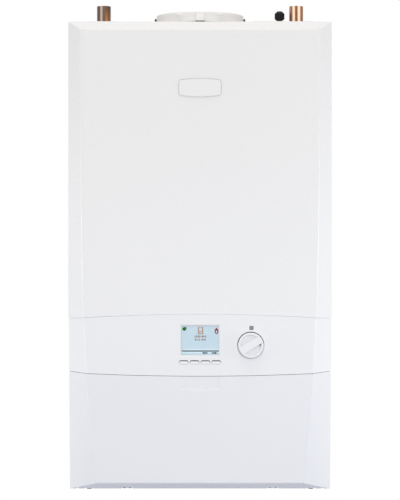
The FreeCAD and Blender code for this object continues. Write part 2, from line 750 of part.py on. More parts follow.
def top_panel():
    sheet = block(-SIDE_INNER, SIDE_INNER, FLANGE_FRONT, BACK_REAR, ROOF, CASE_HEIGHT)
    edge = FLANGE_INNER - SHEET_GAP
    flange = block(-edge, edge, FLANGE_FRONT, FLANGE_FRONT + STEEL, ROOF - TOP_FLANGE, ROOF)
    neck = AIR_SOCKET_RADIUS + COLLAR_WALL + HOLE_CLEARANCE
    shape = sheet.fuse(flange).cut(rod_z(neck, ROOF, CASE_HEIGHT, 0, FLUE_Y))
    shape = shape.cut(pipe_opening(1, FLOW_PLATE_INNER, ROOF, CASE_HEIGHT))
    shape = shape.cut(pipe_opening(-1, RETURN_PLATE_INNER, ROOF, CASE_HEIGHT))
    return shape.removeSplitter()


def sealing_plates():
    flow = block(FLOW_PLATE_INNER, SEAL_PLATE_OUTER, SEAL_PLATE_FRONT, SEAL_PLATE_REAR, CASE_HEIGHT,
                 PLATE_TOP)
    back = block(-SEAL_PLATE_OUTER, -RETURN_PLATE_INNER, SEAL_PLATE_FRONT, SEAL_PLATE_REAR, CASE_HEIGHT,
                 PLATE_TOP)
    collar = rod_z(COLLAR_FLANGE_RADIUS + HOLE_CLEARANCE, CASE_HEIGHT, PLATE_TOP, 0, FLUE_Y)
    neck = GROMMET_NECK_RADIUS + GROMMET_FIT
    flow = flow.cut(collar).cut(rod_z(neck, CASE_HEIGHT, PLATE_TOP, PIPE_X, PIPE_Y))
    flow = flow.cut(rod_z(VENT_NECK_RADIUS + HOLE_CLEARANCE, CASE_HEIGHT, PLATE_TOP, VENT_X, PIPE_Y))
    back = back.cut(rod_z(neck, CASE_HEIGHT, PLATE_TOP, -PIPE_X, PIPE_Y))
    return flow, back


def pipe_grommet(side):
    bore = PIPE_RADIUS + GROMMET_FIT
    brim = rod_z(GROMMET_RADIUS, PLATE_TOP, PLATE_TOP + GROMMET_HEIGHT, side * PIPE_X, PIPE_Y)
    neck = rod_z(GROMMET_NECK_RADIUS, CASE_HEIGHT, PLATE_TOP, side * PIPE_X, PIPE_Y)
    hole = rod_z(bore, CASE_HEIGHT, PLATE_TOP + GROMMET_HEIGHT, side * PIPE_X, PIPE_Y)
    return brim.fuse(neck).cut(hole).removeSplitter()


def floor_holes():
    """Place and radius of each round hole in the bottom panel."""
    return ((GAS_X, GAS_Y, COCK_NUT_FLATS / math.sqrt(3) + HOLE_CLEARANCE),
            (WASTE_X, DRAIN_Y, WASTE_RADIUS + HOLE_CLEARANCE),
            (GLAND_X, GLAND_Y, GLAND_THREAD_RADIUS + GROMMET_FIT),
            (FLOOR_SCREW_X, FLOOR_SCREW_Y, SCREW_RADIUS + SCREW_FIT),
            (-FLOOR_SCREW_X, FLOOR_SCREW_Y, SCREW_RADIUS + SCREW_FIT))


def bottom_panel():
    shape = block(-SIDE_INNER, SIDE_INNER, FLOOR_FRONT, BACK_REAR, FLOOR_HEIGHT, FLOOR_TOP)
    for x, y, radius in floor_holes():
        shape = shape.cut(rod_z(radius, FLOOR_HEIGHT, FLOOR_TOP, x, y))
    return shape


def floor_screw(side):
    x = side * FLOOR_SCREW_X
    head = rod_z(SCREW_HEAD_RADIUS, FLOOR_HEIGHT - SCREW_HEAD, FLOOR_HEIGHT, x, FLOOR_SCREW_Y)
    shank = rod_z(SCREW_RADIUS, FLOOR_HEIGHT, FLOOR_HEIGHT + SCREW_LENGTH, x, FLOOR_SCREW_Y)
    return head.fuse(shank)


def chamber_floor():
    back_edge = SIDE_INNER - SHEET_GAP - STEEL - SHEET_GAP
    sheet = block(-back_edge, back_edge, FLANGE_FRONT + STEEL, BACK_FRONT, CHAMBER_FLOOR_HEIGHT,
                  CHAMBER_FLOOR_TOP)
    edge = FLANGE_INNER - SHEET_GAP
    flange = block(-edge, edge, FLANGE_FRONT, FLANGE_FRONT + STEEL, CHAMBER_FLOOR_HEIGHT,
                   CHAMBER_FLOOR_HEIGHT + TOP_FLANGE)
    shape = sheet.fuse(flange)
    for x, y, radius in ((GAS_X, GAS_Y, GAS_PIPE_RADIUS), (0, DRAIN_Y, TRAP_OUTLET_RADIUS)):
        shape = shape.cut(rod_z(radius + HOLE_CLEARANCE, CHAMBER_FLOOR_HEIGHT, CHAMBER_FLOOR_TOP, x, y))
    return shape.removeSplitter()


def seal_frame():
    """Half width, foot and top of the seal loop on the chassis flanges."""
    half = CASE_WIDTH / 2 - COVER_SEAL_INSET
    return half, CHAMBER_FLOOR_HEIGHT + COVER_SEAL_MARGIN, ROOF - COVER_SEAL_MARGIN


def chamber_seal():
    half, foot, top = seal_frame()
    front = FLANGE_FRONT - COVER_SEAL_THICKNESS
    loop = block(-half, half, front, FLANGE_FRONT, foot, top)
    inner = half - COVER_SEAL_WIDTH
    return loop.cut(block(-inner, inner, front, FLANGE_FRONT, foot + COVER_SEAL_WIDTH, top - COVER_SEAL_WIDTH))


def chamber_cover():
    half, foot, top = seal_frame()
    rear = FLANGE_FRONT - COVER_SEAL_THICKNESS
    front = rear - STEEL
    sheet = block(-half - COVER_EDGE, half + COVER_EDGE, front, rear, foot - COVER_EDGE, top + COVER_EDGE)
    middle = (foot + top) / 2
    wide = COVER_PRESSING_WIDTH
    tall = COVER_PRESSING_HEIGHT
    corner = COVER_PRESSING_ROUND
    raised = rounded_plate(0, middle, wide, tall, corner, front - COVER_PRESSING_DEPTH, front)
    hollow = rounded_plate(0, middle, wide - 2 * STEEL, tall - 2 * STEEL, corner,
                           front - COVER_PRESSING_DEPTH + STEEL, rear)
    return sheet.fuse(raised).cut(hollow).removeSplitter()


# Fascia and what it carries

def lower_shell(low, high):
    outer = rounded_front(lower_form(0))
    area = band(low, high, BEVEL_DEPTH)
    return outer.cut(lower_form(PLASTIC)).common(area), outer


def rim(outer, low, high):
    return outer.common(band(low, high, RIM_DEPTH))


def display_opening():
    wide = DISPLAY_WIDTH + 2 * DISPLAY_FIT
    tall = DISPLAY_TALL + 2 * DISPLAY_FIT
    straight = block(-wide / 2, wide / 2, FACE, FASCIA_INNER, DISPLAY_HEIGHT - tall / 2,
                     DISPLAY_HEIGHT + tall / 2)
    wires = []
    for y, grow in ((FACE, DISPLAY_SLOPE), (FACE + DISPLAY_RECESS, 0)):
        half_x = wide / 2 + grow
        half_z = tall / 2 + grow
        corners = [FreeCAD.Vector(sx * half_x, y, DISPLAY_HEIGHT + sz * half_z)
                   for sx, sz in ((-1, -1), (1, -1), (1, 1), (-1, 1))]
        wires.append(Part.makePolygon(corners + corners[:1]))
    return straight.fuse(Part.makeLoft(wires, True, True))


def button_x(index):
    return (index - (BUTTON_COUNT - 1) / 2) * BUTTON_PITCH


def button_opening():
    """Height of the middle, width and tallness of the opening round one button."""
    middle = BUTTON_HEIGHT + (BUTTON_TOP_GAP - BUTTON_FOOT_GAP) / 2
    return middle, BUTTON_WIDTH + 2 * BUTTON_SIDE_GAP, BUTTON_TALL + BUTTON_TOP_GAP + BUTTON_FOOT_GAP


def fascia_tongue(high):
    """Tongue on the top rim of the fascia that stands behind the foot of the front panel."""
    behind = STEEL + SEAT_GAP
    low_line = arch(high[0] - PLASTIC, high[1] - PLASTIC)
    high_line = arch(high[0] + TONGUE_RISE, high[1] + TONGUE_RISE)
    sheet = upper_form(behind).cut(upper_form(behind + STEEL))
    return sheet.common(band(low_line, high_line, BEVEL_DEPTH - 2 * STEEL))


def control_fascia():
    low = (DOOR_TOP_SIDE + DOOR_GAP / 2, DOOR_TOP_MID + DOOR_GAP / 2)
    high = (FASCIA_TOP_SIDE - PANEL_GAP_SIDE / 2, FASCIA_TOP_MID - PANEL_GAP_MID / 2)
    shape, outer = lower_shell(arch(*low), arch(*high))
    shape = shape.fuse(rim(outer, arch(*low), arch(low[0] + PLASTIC, low[1] + PLASTIC)))
    shape = shape.fuse(rim(outer, arch(high[0] - PLASTIC, high[1] - PLASTIC), arch(*high)))
    shape = shape.fuse(fascia_tongue(high))
    posts = []
    for x in (-POST_X, POST_X):
        for z in (POST_LOW, POST_HIGH):
            posts.append(rod_y(POST_RADIUS, FASCIA_INNER, BOX_FRONT, x, z))
    for x, z in INTERFACE_POSTS:
        posts.append(rod_y(BOARD_POST_RADIUS, FASCIA_INNER, INTERFACE_FRONT, x, z))
    shape = shape.fuse(posts).cut(display_opening())
    for index in range(BUTTON_COUNT):
        x = button_x(index)
        shape = shape.cut(rounded_plate(x, *button_opening(), BUTTON_OPENING_ROUND, FACE, FASCIA_INNER))
    shape = shape.cut(rod_y(knob_hole_radius(), FACE, FASCIA_INNER, KNOB_X, KNOB_HEIGHT))
    return shape.removeSplitter()


def display_window():
    front = FACE + DISPLAY_RECESS
    return block(-DISPLAY_WIDTH / 2, DISPLAY_WIDTH / 2, front, front + WINDOW_THICKNESS,
                 DISPLAY_HEIGHT - DISPLAY_TALL / 2, DISPLAY_HEIGHT + DISPLAY_TALL / 2)


def display_module():
    front = FACE + DISPLAY_RECESS + WINDOW_THICKNESS
    half_x = DISPLAY_WIDTH / 2 + MODULE_BORDER
    half_z = DISPLAY_TALL / 2 + MODULE_BORDER
    return block(-half_x, half_x, front, INTERFACE_FRONT, DISPLAY_HEIGHT - half_z, DISPLAY_HEIGHT + half_z)


def menu_button(index):
    front = FACE - BUTTON_PROUD
    x = button_x(index)
    cap = rounded_plate(x, BUTTON_HEIGHT, BUTTON_WIDTH, BUTTON_TALL, BUTTON_ROUND, front, FACE + BUTTON_REAR)
    middle, wide, tall = button_opening()
    half_wide = wide / 2 + BUTTON_FLANGE_OVERLAP
    half_tall = tall / 2 + BUTTON_FLANGE_OVERLAP
    flange_front = FASCIA_INNER + SEAT_GAP
    flange = block(x - half_wide, x + half_wide, flange_front, flange_front + BUTTON_FLANGE, middle - half_tall,
                   middle + half_tall)
    return cap.fuse(flange).removeSplitter()


def push_switch(index):
    x = button_x(index)
    front = FACE + BUTTON_REAR + BUTTON_TRAVEL + BUTTON_STOP_GAP
    return block(x - SWITCH_SIZE / 2, x + SWITCH_SIZE / 2, front, INTERFACE_FRONT,
                 BUTTON_HEIGHT - SWITCH_SIZE / 2, BUTTON_HEIGHT + SWITCH_SIZE / 2)


def knob_hole_radius():
    return KNOB_RADIUS + KNOB_RING_GAP + KNOB_RING_WIDTH + GROMMET_FIT


def knob_ring():
    outer = KNOB_RADIUS + KNOB_RING_GAP + KNOB_RING_WIDTH
    inner = KNOB_RADIUS + KNOB_RING_GAP
    front = FACE + KNOB_RING_SET_BACK
    ring = rod_y(outer, front, FASCIA_INNER, KNOB_X, KNOB_HEIGHT)
    return ring.cut(rod_y(inner, front, FASCIA_INNER, KNOB_X, KNOB_HEIGHT))


def temperature_knob():
    front = FACE - KNOB_PROUD
    rear = FACE + KNOB_SINK
    body = rod_y(KNOB_RADIUS, front, rear, KNOB_X, KNOB_HEIGHT)
    front_edges = [edge for edge in body.Edges if edge.BoundBox.YMax < front + KNOB_ROUND]
    body = body.makeFillet(KNOB_ROUND, front_edges)
    floor = front + KNOB_POCKET_DEPTH
    floor_radius = KNOB_POCKET_RADIUS - KNOB_POCKET_DRAFT
    pockets = Part.makeCone(KNOB_POCKET_RADIUS, floor_radius, KNOB_POCKET_DEPTH,
                            FreeCAD.Vector(KNOB_X, front, KNOB_HEIGHT), ALONG_Y)
    half_bar = KNOB_BAR_WIDTH / 2
    half_foot = half_bar + KNOB_POCKET_DRAFT
    section = [(front, -half_bar), (front, half_bar), (floor, half_foot), (floor, -half_foot)]
    left = KNOB_X - KNOB_RADIUS
    bar = face_of([FreeCAD.Vector(left, y, KNOB_HEIGHT + z) for y, z in section])
    bar = bar.extrude(ALONG_X * 2 * KNOB_RADIUS)
    stem = rod_y(KNOB_STEM_RADIUS, rear, encoder_front() + KNOB_STEM_LENGTH, KNOB_X, KNOB_HEIGHT)
    shape = body.cut(pockets.cut(bar)).fuse(stem).removeSplitter()
    shape.rotate(FreeCAD.Vector(KNOB_X, 0, KNOB_HEIGHT), ALONG_Y, -KNOB_ANGLE)
    return shape


def encoder_front():
    return INTERFACE_FRONT - ENCODER_LENGTH


def rotary_encoder():
    half = ENCODER_SIZE / 2
    body = block(KNOB_X - half, KNOB_X + half, encoder_front(), INTERFACE_FRONT, KNOB_HEIGHT - half,
                 KNOB_HEIGHT + half)
    bore = rod_y(KNOB_STEM_RADIUS + RUNNING_FIT, encoder_front(), INTERFACE_FRONT, KNOB_X, KNOB_HEIGHT)
    return body.cut(bore)


def interface_board():
    return block(INTERFACE_LEFT, INTERFACE_RIGHT, INTERFACE_FRONT, INTERFACE_FRONT + BOARD, INTERFACE_LOW,
                 INTERFACE_HIGH)


# Control box

def control_box():
    half = BOX_WIDTH / 2
    body = block(-half, half, BOX_FRONT, BOX_REAR, BOX_LOW, BOX_HIGH)
    inside = block(-half + PLASTIC, half - PLASTIC, BOX_FRONT, BOX_REAR - PLASTIC, BOX_LOW + PLASTIC,
                   BOX_HIGH - PLASTIC)
    flange = block(-half - BOX_FLANGE, half + BOX_FLANGE, BOX_FRONT, BOX_FRONT + PLASTIC, BOX_LOW, BOX_HIGH)
    shape = body.fuse(flange).cut(inside)
    for x in (-POST_X, POST_X):
        for z in (POST_LOW, POST_HIGH):
            shape = shape.fuse(rod_y(POST_RADIUS, BOX_FRONT, BOX_REAR - PLASTIC, x, z))
    for x, y in main_board_corners():
        shape = shape.fuse(rod_z(BOARD_POST_RADIUS, BOX_LOW + PLASTIC, main_board_low(), x, y))
    return shape.removeSplitter()


def main_board_low():
    return BOX_LOW + PLASTIC + MAIN_BOARD_POST


def main_board_area():
    half = BOX_WIDTH / 2 - MAIN_BOARD_MARGIN
    return -half, half, BOX_FRONT + MAIN_BOARD_MARGIN, BOX_REAR - MAIN_BOARD_MARGIN


def main_board_corners():
    x0, x1, y0, y1 = main_board_area()
    edge = MAIN_BOARD_POST_INSET
    return [(x, y) for x in (x0 + edge, x1 - edge) for y in (y0 + edge, y1 - edge)]


def main_board():
    x0, x1, y0, y1 = main_board_area()
    return block(x0, x1, y0, y1, main_board_low(), main_board_low() + BOARD)


def board_part(x, width, depth, tall):
    top = main_board_low() + BOARD
    middle = (BOX_FRONT + BOX_REAR) / 2
    return block(x - width / 2, x + width / 2, middle - depth / 2, middle + depth / 2, top, top + tall)


def board_components():
    """Transformer, relays, capacitors and terminal strip on the main board."""
    pieces = [board_part(TRANSFORMER_X, TRANSFORMER_WIDTH, TRANSFORMER_DEPTH, TRANSFORMER_TALL),
              board_part(TERMINAL_X, TERMINAL_WIDTH, TERMINAL_DEPTH, TERMINAL_TALL)]
    for index in range(RELAY_COUNT):
        pieces.append(board_part(RELAY_X + index * RELAY_PITCH, RELAY_WIDTH, RELAY_DEPTH, RELAY_TALL))
    top = main_board_low() + BOARD
    for index in range(CAPACITOR_COUNT):
        x = CAPACITOR_X + index * CAPACITOR_PITCH
        pieces.append(rod_z(CAPACITOR_RADIUS, top, top + CAPACITOR_TALL, x, (BOX_FRONT + BOX_REAR) / 2))
    return pieces


def box_bracket():
    """Folded bracket from the side panel to the end of the control box."""
    end = BOX_WIDTH / 2
    shelf = block(end, SIDE_INNER, BOX_BRACKET_FRONT, BOX_BRACKET_REAR, BOX_BRACKET_HEIGHT,
                  BOX_BRACKET_HEIGHT + STEEL)
    tab = block(end, end + STEEL, BOX_BRACKET_FRONT, BOX_BRACKET_REAR, BOX_BRACKET_HEIGHT - BOX_BRACKET_TAB,
                BOX_BRACKET_HEIGHT)
    wall_tab = block(SIDE_INNER - STEEL, SIDE_INNER, BOX_BRACKET_FRONT, BOX_BRACKET_REAR,
                     BOX_BRACKET_HEIGHT - BOX_BRACKET_TAB, BOX_BRACKET_HEIGHT)
    return shelf.fuse([tab, wall_tab]).removeSplitter()


# Lower door

def foot_slots():
    """Slots along the rear edge of the door's foot, and a notch under each floor screw."""
    tall = FOOT_SLOT_REACH * BEVEL_FOOT_RISE / BEVEL_DEPTH + 2 * PLASTIC
    cuts = [rod_z(FOOT_NOTCH_RADIUS, 0, tall, FLOOR_SCREW_X, BEVEL_PLANE)]
    for inset in FOOT_SLOT_INSETS:
        x = CASE_WIDTH / 2 - inset
        cuts.append(block(x - FOOT_SLOT_WIDTH / 2, x + FOOT_SLOT_WIDTH / 2, BEVEL_PLANE - FOOT_SLOT_REACH,
                          BEVEL_PLANE, 0, tall))
    return cuts + [mirrored(cut) for cut in cuts]


def hinge_notch(x):
    """Room in the foot of the door for one hinge bracket."""
    half = HINGE_EAR_SPACE / 2 + HINGE_EAR + HINGE_NOTCH
    return block(x - half, x + half, HINGE_Y - HINGE_NOTCH_REACH, BEVEL_PLANE, 0,
                 HINGE_HEIGHT + HINGE_EAR_RADIUS + HINGE_NOTCH)


def hinge_lug(x, outer):
    half = HINGE_EAR_SPACE / 2 - HINGE_SIDE_FIT
    knuckle = rod_x(HINGE_LUG_RADIUS, x - half, x + half, HINGE_Y, HINGE_HEIGHT)
    arm = block(x - half, x + half, HINGE_Y - HINGE_LUG_REACH, HINGE_Y, HINGE_HEIGHT - HINGE_LUG_RADIUS,
                HINGE_HEIGHT + 2 * HINGE_LUG_RADIUS)
    arm = arm.common(outer)
    bore = rod_x(HINGE_PIN_RADIUS + RUNNING_FIT, x - half, x + half, HINGE_Y, HINGE_HEIGHT)
    return knuckle.common(outer).fuse(arm).cut(bore)


def pull_outline(y, half, low):
    """Outline of the finger pull at one depth: straight sides, rounded corners and a sagging foot."""
    bow = PULL_CORNER * (1 - math.sqrt(0.5))
    flat = half - PULL_CORNER
    left = [FreeCAD.Vector(-half, y, DOOR_TOP_SIDE), FreeCAD.Vector(-half, y, low + PULL_CORNER),
            FreeCAD.Vector(-half + bow, y, low + bow), FreeCAD.Vector(-flat, y, low)]
    right = [FreeCAD.Vector(-point.x, y, point.z) for point in left]
    sag = FreeCAD.Vector(0, y, low - PULL_SAG)
    return Part.Wire([Part.makeLine(left[0], left[1]), Part.Arc(left[1], left[2], left[3]).toShape(),
                      Part.Arc(left[3], sag, right[3]).toShape(), Part.Arc(right[3], right[2], right[1]).toShape(),
                      Part.makeLine(right[1], right[0]), Part.makeLine(right[0], left[0])])


def pull_recess():
    """Finger pull in the top of the door: a shallow pocket with sloped sides and foot, open above."""
    mouth = pull_outline(FACE, PULL_HALF_WIDTH, PULL_LOW)
    floor = pull_outline(FACE + PULL_DEPTH, PULL_HALF_WIDTH - PULL_SIDE_SLOPE, PULL_LOW + PULL_FOOT_SLOPE)
    return Part.makeLoft([mouth, floor], True, True)


def catch_x():
    """Side nearest the middle of the casing of one door catch."""
    return FLANGE_INNER + SHEET_GAP


def catch_rib(outer):
    x = catch_x()
    front = FLANGE_FRONT - CATCH_THICKNESS - SEAT_GAP - STRIKE_THICKNESS
    rib = block(x, x + CATCH_WIDTH + PLASTIC, FASCIA_INNER, front, CATCH_HEIGHT - CATCH_TALL / 2,
                CATCH_HEIGHT + CATCH_TALL / 2)
    return rib.common(outer)


def lower_door():
    line = arch(DOOR_TOP_SIDE - DOOR_GAP / 2, DOOR_TOP_MID - DOOR_GAP / 2)
    under = arch(DOOR_TOP_SIDE - DOOR_GAP / 2 - PLASTIC, DOOR_TOP_MID - DOOR_GAP / 2 - PLASTIC)
    shape, outer = lower_shell(level(0), line)
    backing = block(-PULL_HALF_WIDTH - PULL_BACKING, PULL_HALF_WIDTH + PULL_BACKING, FASCIA_INNER,
                    FASCIA_INNER + PULL_DEPTH, PULL_LOW - PULL_SAG - PULL_BACKING, DOOR_TOP_SIDE)
    backing = backing.common(band(level(0), line, BEVEL_DEPTH))
    shape = shape.fuse([rim(outer, under, line), backing])
    rib = catch_rib(outer)
    shape = shape.fuse([rib, mirrored(rib)]).cut([pull_recess()] + foot_slots())
    for x in (-HINGE_X, HINGE_X):
        shape = shape.cut(hinge_notch(x)).fuse(hinge_lug(x, outer))
    return shape.removeSplitter()


def door_catch():
    x = catch_x()
    return block(x, x + CATCH_WIDTH, FLANGE_FRONT - CATCH_THICKNESS, FLANGE_FRONT,
                 CATCH_HEIGHT - CATCH_TALL / 2, CATCH_HEIGHT + CATCH_TALL / 2)


def door_strike():
    x = catch_x()
    front = FLANGE_FRONT - CATCH_THICKNESS - SEAT_GAP - STRIKE_THICKNESS
    return block(x, x + STRIKE_WIDTH, front, front + STRIKE_THICKNESS, CATCH_HEIGHT - CATCH_TALL / 2,
                 CATCH_HEIGHT + CATCH_TALL / 2)


def hinge_bracket(x):
    half = HINGE_EAR_SPACE / 2
    rear = FLOOR_FRONT + HINGE_PLATE_LENGTH
    wide = half + HINGE_EAR
    plate = block(x - wide, x + wide, FLOOR_FRONT, rear, FLOOR_TOP, FLOOR_TOP + HINGE_PLATE)
    shape = plate
    for side in (-1, 1):
        inner = x + side * half
        outer = x + side * wide
        left = min(inner, outer)
        right = max(inner, outer)
        arm = block(left, right, HINGE_Y, rear, FLOOR_TOP, HINGE_HEIGHT + HINGE_EAR_RADIUS)
        knuckle = rod_x(HINGE_EAR_RADIUS, left, right, HINGE_Y, HINGE_HEIGHT)
        bore = rod_x(HINGE_PIN_RADIUS, left, right, HINGE_Y, HINGE_HEIGHT)
        shape = shape.fuse([arm, knuckle]).cut(bore)
    return shape.removeSplitter()


def hinge_pin(x):
    half = HINGE_EAR_SPACE / 2 + HINGE_EAR
    return rod_x(HINGE_PIN_RADIUS, x - half, x + half, HINGE_Y, HINGE_HEIGHT)


# Heat exchanger and burner

def heat_exchanger():
    body = rod_y(DRUM_RADIUS, DRUM_FRONT, DRUM_REAR, 0, DRUM_HEIGHT)
    flange = rod_y(DRUM_FLANGE_RADIUS, BURNER_DOOR_REAR, DRUM_FRONT, 0, DRUM_HEIGHT)
    spigot = rod_z(SPIGOT_RADIUS, DRUM_HEIGHT, SPIGOT_TOP, 0, FLUE_Y)
    drain = rod_z(DRAIN_RADIUS, DRAIN_FOOT, DRUM_HEIGHT, 0, DRAIN_Y)
    flow = rod_x(BOSS_RADIUS, 0, BOSS_REACH, PIPE_Y, DRUM_HEIGHT + BOSS_OFFSET)
    back = rod_x(BOSS_RADIUS, -BOSS_REACH, 0, PIPE_Y, DRUM_HEIGHT - BOSS_OFFSET)
    cavity = rod_y(DRUM_RADIUS - DRUM_WALL, BURNER_DOOR_REAR, DRUM_REAR - DRUM_WALL, 0, DRUM_HEIGHT)
    bores = [rod_z(SPIGOT_RADIUS - SPIGOT_WALL, DRUM_HEIGHT, SPIGOT_TOP, 0, FLUE_Y),
             rod_z(DRAIN_RADIUS - DRAIN_WALL, DRAIN_FOOT, DRUM_HEIGHT, 0, DRAIN_Y),
             rod_x(PIPE_BORE_RADIUS, 0, BOSS_REACH, PIPE_Y, DRUM_HEIGHT + BOSS_OFFSET),
             rod_x(PIPE_BORE_RADIUS, -BOSS_REACH, 0, PIPE_Y, DRUM_HEIGHT - BOSS_OFFSET)]
    return body.fuse([flange, spigot, drain, flow, back]).cut([cavity] + bores).removeSplitter()


def exchanger_coil():
    """Close-wound flattened tube around the burner, drawn as one ribbed sleeve."""
    rear = DRUM_REAR - DRUM_WALL
    edges = []
    for turn in range(COIL_TURNS):
        y0 = rear - turn * COIL_PITCH
        y1 = y0 - COIL_PITCH
        crest = FreeCAD.Vector(COIL_OUTER + COIL_CREST, (y0 + y1) / 2, DRUM_HEIGHT)
        edges.append(Part.Arc(FreeCAD.Vector(COIL_OUTER, y0, DRUM_HEIGHT), crest,
                              FreeCAD.Vector(COIL_OUTER, y1, DRUM_HEIGHT)).toShape())
    front = rear - COIL_TURNS * COIL_PITCH
    corners = [FreeCAD.Vector(COIL_OUTER, front, DRUM_HEIGHT), FreeCAD.Vector(COIL_INNER, front, DRUM_HEIGHT),
               FreeCAD.Vector(COIL_INNER, rear, DRUM_HEIGHT), FreeCAD.Vector(COIL_OUTER, rear, DRUM_HEIGHT)]
    for first, last in zip(corners, corners[1:]):
        edges.append(Part.makeLine(first, last))
    return Part.Face(Part.Wire(edges)).revolve(FreeCAD.Vector(0, 0, DRUM_HEIGHT), ALONG_Y, 360)


def exchanger_rail(offset):
    middle = DRUM_HEIGHT + offset
    reach = math.sqrt(DRUM_RADIUS ** 2 - RAIL_OFFSET ** 2) - RAIL_FOOT_INSET
    rail = block(-RAIL_WIDTH / 2, RAIL_WIDTH / 2, BACK_FRONT - STEEL, BACK_FRONT, middle - RAIL_HEIGHT / 2,
                 middle + RAIL_HEIGHT / 2)
    foot = block(-reach, reach, DRUM_REAR, BACK_FRONT - STEEL, middle - STEEL, middle + STEEL)
    return rail.fuse(foot).removeSplitter()


def burner_door():
    shape = rod_y(BURNER_DOOR_RADIUS, BURNER_DOOR_FRONT, BURNER_DOOR_REAR, 0, DRUM_HEIGHT)
    shape = shape.cut(rod_y(BURNER_PORT_RADIUS, BURNER_DOOR_FRONT, BURNER_DOOR_REAR, 0, DRUM_HEIGHT))
    for x, z in ELECTRODE_PLACES:
        hole = rod_y(ELECTRODE_RADIUS + SEAT_GAP, BURNER_DOOR_FRONT, BURNER_DOOR_REAR, x, DRUM_HEIGHT + z)
        shape = shape.cut(hole)
    return shape


def burner():
    tail = BURNER_DOOR_REAR + BURNER_LENGTH
    tube = rod_y(BURNER_RADIUS, BURNER_DOOR_REAR, tail, 0, DRUM_HEIGHT)
    flange = rod_y(BURNER_FLANGE_RADIUS, BURNER_DOOR_REAR, BURNER_DOOR_REAR + BURNER_WALL, 0, DRUM_HEIGHT)
    inside = rod_y(BURNER_RADIUS - BURNER_WALL, BURNER_DOOR_REAR, tail - BURNER_WALL, 0, DRUM_HEIGHT)
    return tube.fuse(flange).cut(inside).removeSplitter()


def electrode(x, z):
    y = BURNER_DOOR_FRONT
    height = DRUM_HEIGHT + z
    body = rod_y(ELECTRODE_RADIUS, y - ELECTRODE_OUT, BURNER_DOOR_REAR + ELECTRODE_IN, x, height)
    plate = block(x - ELECTRODE_PLATE_WIDTH / 2, x + ELECTRODE_PLATE_WIDTH / 2, y - ELECTRODE_PLATE, y,
                  height - ELECTRODE_PLATE_TALL / 2, height + ELECTRODE_PLATE_TALL / 2)
    return body.fuse(plate).removeSplitter()


def door_nut(index):
    angle = math.radians(360 * (index + 0.5) / DOOR_NUT_COUNT)
    x = DOOR_NUT_CIRCLE * math.cos(angle)
    z = DRUM_HEIGHT + DOOR_NUT_CIRCLE * math.sin(angle)
    middle = FreeCAD.Vector(x, BURNER_DOOR_FRONT, z)
    return hexagon(DOOR_NUT_FLATS, middle, ALONG_X, ALONG_Z).extrude(ALONG_Y * -DOOR_NUT_HEIGHT)


# Fan and mixture

def fan_neck(shrink):
    return block(FAN_X - FAN_NECK_LEFT + shrink, FAN_X - FAN_NECK_RIGHT - shrink, FAN_FRONT + shrink,
                 BURNER_DOOR_FRONT - shrink, FAN_HEIGHT, DUCT_FLOOR)


def fan_housing():
    body = rod_y(FAN_RADIUS, FAN_FRONT, FAN_REAR, FAN_X, FAN_HEIGHT).fuse(fan_neck(0))
    inside = rod_y(FAN_RADIUS - FAN_WALL, FAN_FRONT + FAN_WALL, FAN_REAR - FAN_WALL, FAN_X, FAN_HEIGHT)
    shaft_hole = rod_y(FAN_SHAFT_RADIUS + SEAT_GAP, FAN_FRONT, FAN_FRONT + FAN_WALL, FAN_X, FAN_HEIGHT)
    eye = rod_y(FAN_EYE_RADIUS, FAN_REAR - FAN_WALL, FAN_REAR, FAN_X, FAN_HEIGHT)
    return body.cut([inside, fan_neck(FAN_WALL), shaft_hole, eye]).removeSplitter()


def fan_impeller():
    disc_front = FAN_FRONT + FAN_WALL + IMPELLER_GAP
    disc_rear = disc_front + IMPELLER_DISC
    hub_rear = disc_rear + IMPELLER_BLADE_WIDTH
    shape = rod_y(IMPELLER_RADIUS, disc_front, disc_rear, FAN_X, FAN_HEIGHT)
    shape = shape.fuse(rod_y(IMPELLER_HUB_RADIUS, disc_front, hub_rear, FAN_X, FAN_HEIGHT))
    blades = []
    for index in range(IMPELLER_BLADES):
        root = FAN_X + IMPELLER_HUB_RADIUS - IMPELLER_BLADE
        tip = FAN_X + IMPELLER_RADIUS - IMPELLER_BLADE
        blade = block(root, tip, disc_rear, disc_rear + IMPELLER_BLADE_WIDTH, FAN_HEIGHT - IMPELLER_BLADE / 2,
                      FAN_HEIGHT + IMPELLER_BLADE / 2)
        blade.rotate(FreeCAD.Vector(FAN_X, 0, FAN_HEIGHT), ALONG_Y, 360 * index / IMPELLER_BLADES)
        blades.append(blade)
    shaft_front = FAN_FRONT - FAN_MOTOR_LENGTH + FAN_SHAFT_END
    shaft = rod_y(FAN_SHAFT_RADIUS, shaft_front, disc_front, FAN_X, FAN_HEIGHT)
    return shape.fuse(blades + [shaft]).removeSplitter()


def fan_motor():
    body = rod_y(FAN_MOTOR_RADIUS, FAN_FRONT - FAN_MOTOR_LENGTH, FAN_FRONT, FAN_X, FAN_HEIGHT)
    bore = rod_y(FAN_SHAFT_RADIUS + RUNNING_FIT, FAN_FRONT - FAN_MOTOR_LENGTH + FAN_SHAFT_END, FAN_FRONT, FAN_X,
                 FAN_HEIGHT)
    return body.cut(bore)


def duct_outline(inset, y):
    """Closed outline of the mixture duct seen from the front."""
    left = FAN_X - FAN_NECK_LEFT
    right = FAN_X - FAN_NECK_RIGHT
    hub = DUCT_HUB_RADIUS
    corners = [(left, DUCT_FLOOR), (right, DUCT_FLOOR), (right, DRUM_HEIGHT - hub - DUCT_CORNER_DROP),
               (0, DRUM_HEIGHT - hub), (hub, DRUM_HEIGHT - hub / 2), (hub, DRUM_HEIGHT + hub / 2),
               (0, DRUM_HEIGHT + hub), (left / 2, DRUM_HEIGHT + hub / 2), (left, DUCT_SHOULDER)]
    return inset_face([FreeCAD.Vector(x, y, z) for x, z in corners], inset)


